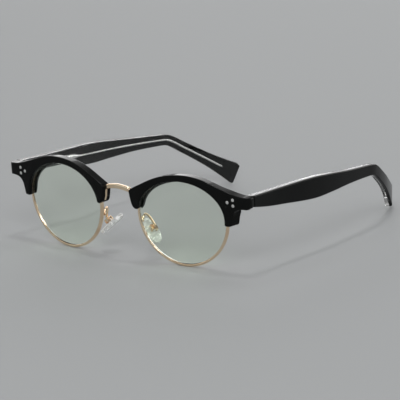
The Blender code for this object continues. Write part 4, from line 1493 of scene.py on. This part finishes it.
    def build(self) -> None:
        """Builds and dresses the layers and the wires."""
        route = self.route()
        for side in Side:
            word, body = side.word, "temple_arm" + side.word
            dress(mesh_piece("black_layer" + word, self.black(route).on(side)), BLACK, body, "temple" + word)
            lining = mesh_piece("clear_layer" + word, self.clear(route).on(side))
            dress(lining, CLEAR, body, "temple_lining" + word)
            wire = mesh_piece("inner_wire" + word, self.wire(route).on(side), self.wire_sharp)
            dress(wire, WIRE, body, "core_wire" + word)


@dataclass
class Hinges:
    """Riveted three-barrel hinges and their slotted screws.

    The foot's profile holds shares of the pin's radius and heights above the foot, the head's one shares of
    the head's radius and heights above its seat. The barrels keep a share of their packed height.
    """

    barrel_middle: float = 0.0019
    barrel_end: float = 0.0014
    barrel_gap: float = 0.00015
    kept_height: float = 0.70
    pin_radius: float = 0.00055
    head_radius: float = 0.0009
    slot_width: float = 0.00028
    slot_depth: float = 0.0002
    screw_around: int = 96
    top_rings: int = 14
    top_shares: Pair = (0.85, 0.03)
    front_bevel: float = 0.00007
    temple_bevel: float = 0.00006
    foot_profile: tuple[Pair, ...] = ((0.1, 0.0), (0.8, 0.0), (1.0, 0.0001))
    head_profile: tuple[Pair, ...] = (
        (0.94, 0.0), (1.0, 0.00006), (1.0, 0.0002), (0.97, 0.00026), (0.9, 0.0003),
    )

    def screw(self) -> Shell:
        """Cheese-head screw: a turned pin and head with the driver's slot across its top.

        Returns:
            The screw about its own axis, with its middle at the origin.
        """
        reach = (self.barrel_middle / 2 + self.barrel_gap + self.barrel_end) * self.kept_height
        seat = reach + self.barrel_gap / 4
        foot = np.array(self.foot_profile) * [self.pin_radius, 1] - [0, reach]
        head = np.array(self.head_profile) * [self.head_radius, 1] + [0, seat]
        share = np.linspace(*self.top_shares, self.top_rings)[:, None]
        top = share * [self.head_radius, 0] + [0, head[-1, 1]]
        profile = np.vstack([foot, (self.pin_radius, seat), head, top])
        return turned(profile, self.screw_around, self.slot_width, self.slot_depth)

    def build(self) -> None:
        """Builds the screws and breaks the edges of the leaves, barrels and rivets."""
        for side in Side:
            word, arm = side.word, "temple_arm" + side.word
            low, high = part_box("hinge_screw" + word)
            level = low.z + self.barrel_end + self.barrel_middle / 2
            own = self.screw()
            placed = Shell(own.points + [(low.x + high.x) / 2, (low.y + high.y) / 2, level], own.faces)
            screw = mesh_piece("slotted_screw" + word, placed.outward())
            dress(screw, NICKEL, "front_frame", "hinge_screw" + word)
            squeeze, whole = (level, self.kept_height), (0.0, 1.0)
            leaf = bevelled_copy("front_hinge" + word, "front_leaf" + word, self.front_bevel, squeeze)
            dress(leaf, NICKEL, "front_frame", "front_hinge" + word)
            parts = {"temple_hinge": squeeze, "temple_rivet_front": whole, "temple_rivet_rear": whole}
            for part, kept in parts.items():
                copy = bevelled_copy(part + word, "riveted_" + part + word, self.temple_bevel, kept)
                dress(copy, NICKEL, arm, part + word)


# Nose pads


@dataclass
class NosePads:
    """Clear rocking pads in gold boxes on bent arms.

    The arm's shares are of the way from the rim to the box, of the rise and of the bow.
    """

    plane: LensPlane
    length: float = 0.0138
    width: float = 0.0074
    thick: float = 0.0021
    behind: float = 0.0053
    from_middle: float = 0.0120
    below: float = 0.0110
    splay: float = math.radians(25)
    frontal: float = math.radians(44)
    backward: float = math.radians(18.5)
    swell: float = 0.14
    edge_draw: float = 0.24
    edge_rings: int = 17
    face_rings: int = 22
    around: int = 96
    core: float = 0.05
    ridges: int = 3
    ridge_height: float = 0.00005
    ridge_start: Pair = (0.25, 0.45)
    pad_sharp: float = 50.0
    boss_width: float = 0.0019
    boss_length: float = 0.0022
    boss_height: float = 0.0016
    boss_chamfer: float = 0.00015
    boss_end: float = 0.86
    boss_sunk: float = 0.3
    boss_power: float = 0.35
    boss_around: int = 32
    box_wall: float = 0.00045
    box_bevel: float = 0.00006
    screw_bevel: float = 0.00005
    running_gap: float = 0.0004
    arm_radius: float = 0.0005
    arm_growth: float = 1.15
    arm_level: float = 0.0049
    arm_rise: float = 0.0024
    arm_bow: float = 0.0012
    arm_steps: int = 12
    arm_side: Triple = (1.0, 0.2, 0.0)
    arm_sharp: float = 60.0
    rim_back: float = 0.0010
    braze_gap: float = 0.0002
    braze_reach: float = 0.0004
    braze_swell: float = 0.35
    braze_share: float = 0.10
    arm_shares: tuple[Triple, ...] = (
        (0.0, 0.0, 0.0), (0.12, 0.80, 0.20), (0.33, 1.50, 0.75), (0.58, 1.58, 1.00), (0.80, 1.10, 0.75),
        (1.0, 0.0, 0.0),
    )

    @property
    def rotation(self) -> np.ndarray:
        """The pad's width, length and face: splayed, turned in the front view, then leaned back.

        Returns:
            The three directions as columns.
        """
        start = Matrix(((0, 0, -1), (-1, 0, 0), (0, 1, 0)))
        turn = (Matrix.Rotation(-self.backward, 3, "X") @ Matrix.Rotation(-self.frontal, 3, "Y")
                @ Matrix.Rotation(-self.splay, 3, "Z"))
        return np.array(turn @ start)

    @property
    def origin(self) -> np.ndarray:
        """Middle of the left pad."""
        return np.array([self.from_middle, self.behind, -self.below]) + self.plane.shift

    def pebble(self) -> Shell:
        """Egg-shaped body of the pad.

        A ring at a turn t through the thickness stands at half the thickness times the sine of t, and is
        drawn in by the edge's share of one less the root of the cosine of t. The outline is an ellipse
        that swells to its foot, and low rings, a sine of the way out without its sign, are raised on
        the back.

        Returns:
            The body about the pad's middle.
        """
        angles = np.linspace(0, 2 * math.pi, self.around, endpoint=False)
        swell = 1 - self.swell * np.sin(angles)
        outline = np.column_stack([self.width / 2 * np.cos(angles) * swell, self.length / 2 * np.sin(angles)])
        turn = np.linspace(-math.pi / 2, math.pi / 2, self.edge_rings)
        scale = 1 - self.edge_draw * (1 - np.sqrt(np.cos(turn)))
        level = self.thick / 2 * np.sin(turn)
        inner = np.linspace(self.core, 1, self.face_rings)[:-1]
        wave = np.abs(np.sin(inner * self.ridges * 2 * math.pi)) * ramp(inner, *self.ridge_start)
        scales = np.concatenate([inner * scale[0], scale, (inner * scale[-1])[::-1]])
        levels = np.concatenate([level[0] + self.ridge_height * wave, level, np.full(len(inner), level[-1])])
        return carried(lifted(scales[:, None, None] * outline, levels[:, None]), Ends.DOMED)

    def boss(self) -> Shell:
        """Rounded block that runs from the pad's body into its box.

        Returns:
            The block about the pad's middle.
        """
        end = -self.thick / 2 - self.boss_height
        levels = np.array([[end], [end + self.boss_chamfer], [-self.thick * self.boss_sunk]])
        section = superellipse(self.boss_width / 2, self.boss_length / 2, self.boss_around, self.boss_power)
        return carried(lifted(np.array([self.boss_end, 1, 1])[:, None, None] * section, levels))

    def pad(self) -> Shell:
        """Body and boss of the left pad in the model's frame."""
        return self.pebble().with_shell(self.boss()).placed(self.rotation, self.origin)

    def arm(self) -> Shell:
        """Round arm from the rim's back, up, over and down into the box.

        It is the straight way between its ends, plus the rise's share upwards and the bow's share towards
        the nose. By the rim it swells into the braze.

        Returns:
            The left arm in the model's frame.
        """
        across, up = self.plane.point(0, math.pi - self.plane.angle(-self.arm_level))
        start = self.plane.world([across, up, -self.rim_back - self.braze_gap - self.arm_radius])
        box_floor = -self.thick / 2 - self.boss_height - self.running_gap - self.box_wall
        end = self.rotation @ [0, 0, box_floor - self.braze_gap - self.arm_radius] + self.origin
        along, rise, bow = np.array(self.arm_shares).T
        lifts = np.column_stack([-self.arm_bow * bow, np.zeros(len(bow)), self.arm_rise * rise])
        path = smooth_curve(start + (end - start) * along[:, None] + lifts, self.arm_steps)
        swell = 1 + self.braze_swell * (1 - ramp(np.linspace(0, 1, len(path)), 0, self.braze_share))
        into = [0, 0, self.braze_reach]
        path = np.vstack([path[0] + self.plane.rotation @ into, path, path[-1] + self.rotation @ into])
        radius = self.arm_radius * self.arm_growth * np.concatenate([swell[:1], swell, [1.0]])
        return rod(path, radius, np.array(self.arm_side))

    def build(self) -> None:
        """Builds and dresses the pads, boxes, screws and arms."""
        for side in Side:
            word = side.word
            pad = mesh_piece("clear_pad" + word, self.pad().on(side), self.pad_sharp)
            dress(pad, SILICONE, "rocking_pad" + word, "nose_pad" + word)
            arm = mesh_piece("bent_arm" + word, self.arm().on(side), self.arm_sharp)
            dress(arm, GOLD, "front_frame", "pad_arm" + word)
            box = bevelled_copy("pad_box" + word, "open_box" + word, self.box_bevel)
            dress(box, GOLD, "front_frame", "pad_box" + word)
            screw = bevelled_copy("pad_screw" + word, "box_screw" + word, self.screw_bevel)
            dress(screw, NICKEL, "front_frame", "pad_screw" + word)


# Studio


@dataclass(frozen=True)
class SoftLamp:
    """Rectangular soft lamp: its name, place, width and height, and power in watts."""

    name: str
    place: Triple
    size: Pair
    power: float

    def hang(self, aim: Triple) -> None:
        """Hangs the lamp at its place, facing a point.

        Args:
            aim: the point.
        """
        data = bpy.data.lights.new(self.name, "AREA")
        data.shape = "RECTANGLE"
        data.size, data.size_y = self.size
        data.energy = self.power
        lamp = bpy.data.objects.new(self.name, data)
        lamp.location = self.place
        lamp.rotation_mode = "QUATERNION"
        lamp.rotation_quaternion = (Vector(self.place) - Vector(aim)).to_track_quat("Z", "Y")
        COLLECTION.objects.link(lamp)


@dataclass
class Studio:
    """Paper floor, soft lamps and the camera at the photograph's angle."""

    azimuth: float = math.radians(38.08)
    elevation: float = math.radians(13.52)
    roll: float = math.radians(-1.47)
    distance: float = 1.516
    aim_right: float = 0.0350
    aim_up: float = 0.0254
    front_shift: float = 0.0713
    focal: float = 295.5
    sensor: float = 36.0
    clip: Pair = (0.05, 20.0)
    paper_half: float = 3.0
    ceiling: float = 0.22
    wall: float = 0.80
    wall_foot: Pair = (0.02, 0.12)
    wall_top: Pair = (0.45, 0.70)
    lamp_aim: Triple = (0.0, 0.0, 0.02)
    lamps: tuple[SoftLamp, ...] = (
        SoftLamp("key", (0.0, 0.0, 1.0), (0.12, 0.12), 1.3),
        SoftLamp("overhead", (-0.2, 0.40, 0.95), (0.55, 0.40), 1.5),
        SoftLamp("rear", (-0.78, 0.98, 0.36), (1.2, 0.56), 2.9),
        SoftLamp("back_strip", (0.45, 1.15, 0.32), (1.0, 0.30), 3.0),
        SoftLamp("front_fill", (0.55, -0.85, 0.75), (0.50, 0.40), 4.5),
    )

    def camera(self) -> None:
        """Camera on the line of sight, rolled about it."""
        back = np.array([math.sin(self.azimuth) * math.cos(self.elevation),
                         -math.cos(self.azimuth) * math.cos(self.elevation), math.sin(self.elevation)])
        right = np.array([math.cos(self.azimuth), math.sin(self.azimuth), 0.0])
        up = np.cross(back, right)
        eye = right * self.aim_right + up * self.aim_up + back * self.distance - [0, self.front_shift, 0]
        rolled_right = right * math.cos(self.roll) + up * math.sin(self.roll)
        rolled_up = up * math.cos(self.roll) - right * math.sin(self.roll)
        data = bpy.data.cameras.new("camera")
        data.lens, data.sensor_width = self.focal, self.sensor
        data.clip_start, data.clip_end = self.clip
        camera = bpy.data.objects.new("camera", data)
        placed = np.eye(4)
        placed[:3] = np.column_stack([rolled_right, rolled_up, back, eye])
        camera.matrix_world = Matrix(placed.tolist())
        COLLECTION.objects.link(camera)
        bpy.context.scene.camera = camera

    def floor(self) -> None:
        """Wide paper, level at the glasses' feet."""
        corners = [(-1, -1, 0), (1, -1, 0), (1, 1, 0), (-1, 1, 0)]
        mesh = bpy.data.meshes.new("paper")
        mesh.from_pydata((np.array(corners) * self.paper_half).tolist(), [], [(0, 1, 2, 3)])
        mesh.materials.append(StudioPaper().material())
        paper = bpy.data.objects.new("paper", mesh)
        COLLECTION.objects.link(paper)

    def world(self) -> None:
        """Soft white walls round the paper, brighter from the floor to a soft box's height than above."""
        world = bpy.data.worlds.new("studio_world")
        bpy.context.scene.world = world
        graph = Graph(world)
        way = graph.node("ShaderNodeTexCoord")["Generated"]
        height = graph.node("ShaderNodeSeparateXYZ", {}, {"Vector": way})["Z"]
        wall = height.smooth(*self.wall_foot) * (1 - height.smooth(*self.wall_top))
        tone = graph.blend(wall, (self.ceiling,) * 3, (self.wall,) * 3)
        surface = graph.node("ShaderNodeBackground", {}, {"Color": tone})["Background"]
        graph.node("ShaderNodeOutputWorld", {}, {"Surface": surface})

    def build(self) -> None:
        """Sets the floor, the world, the lamps and the camera."""
        self.floor()
        self.world()
        for lamp in self.lamps:
            lamp.hang(self.lamp_aim)
        bpy.context.scene.view_settings.view_transform = "Standard"
        self.camera()


def seated_plane() -> LensPlane:
    """The lens plane moved so that the rim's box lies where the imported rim's does.

    Returns:
        The plane.
    """
    plane = LensPlane()
    rim = Rims(plane, steps=SEATING_STEPS).rim().points
    low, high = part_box("rim_left")
    moved = np.array((low + high) / 2) - (rim.min(axis=0) + rim.max(axis=0)) / 2
    plane.shift = np.array([0.0, moved[1], moved[2]])
    LOG.info("lens plane shifted by %s", plane.shift)
    return plane


def main() -> None:
    """Builds the sub-assemblies in order."""
    logging.basicConfig(level=logging.INFO, format="%(message)s")
    plane = seated_plane()
    rims, bridge = Rims(plane), Bridge(plane)
    brows = Brows(plane, bridge, rims)
    for assembly in (rims, bridge, brows, Temples(plane), Hinges(), NosePads(plane), Studio()):
        assembly.build()
        LOG.info("%s done", type(assembly).__name__)


if __name__ == "__main__":
    main()
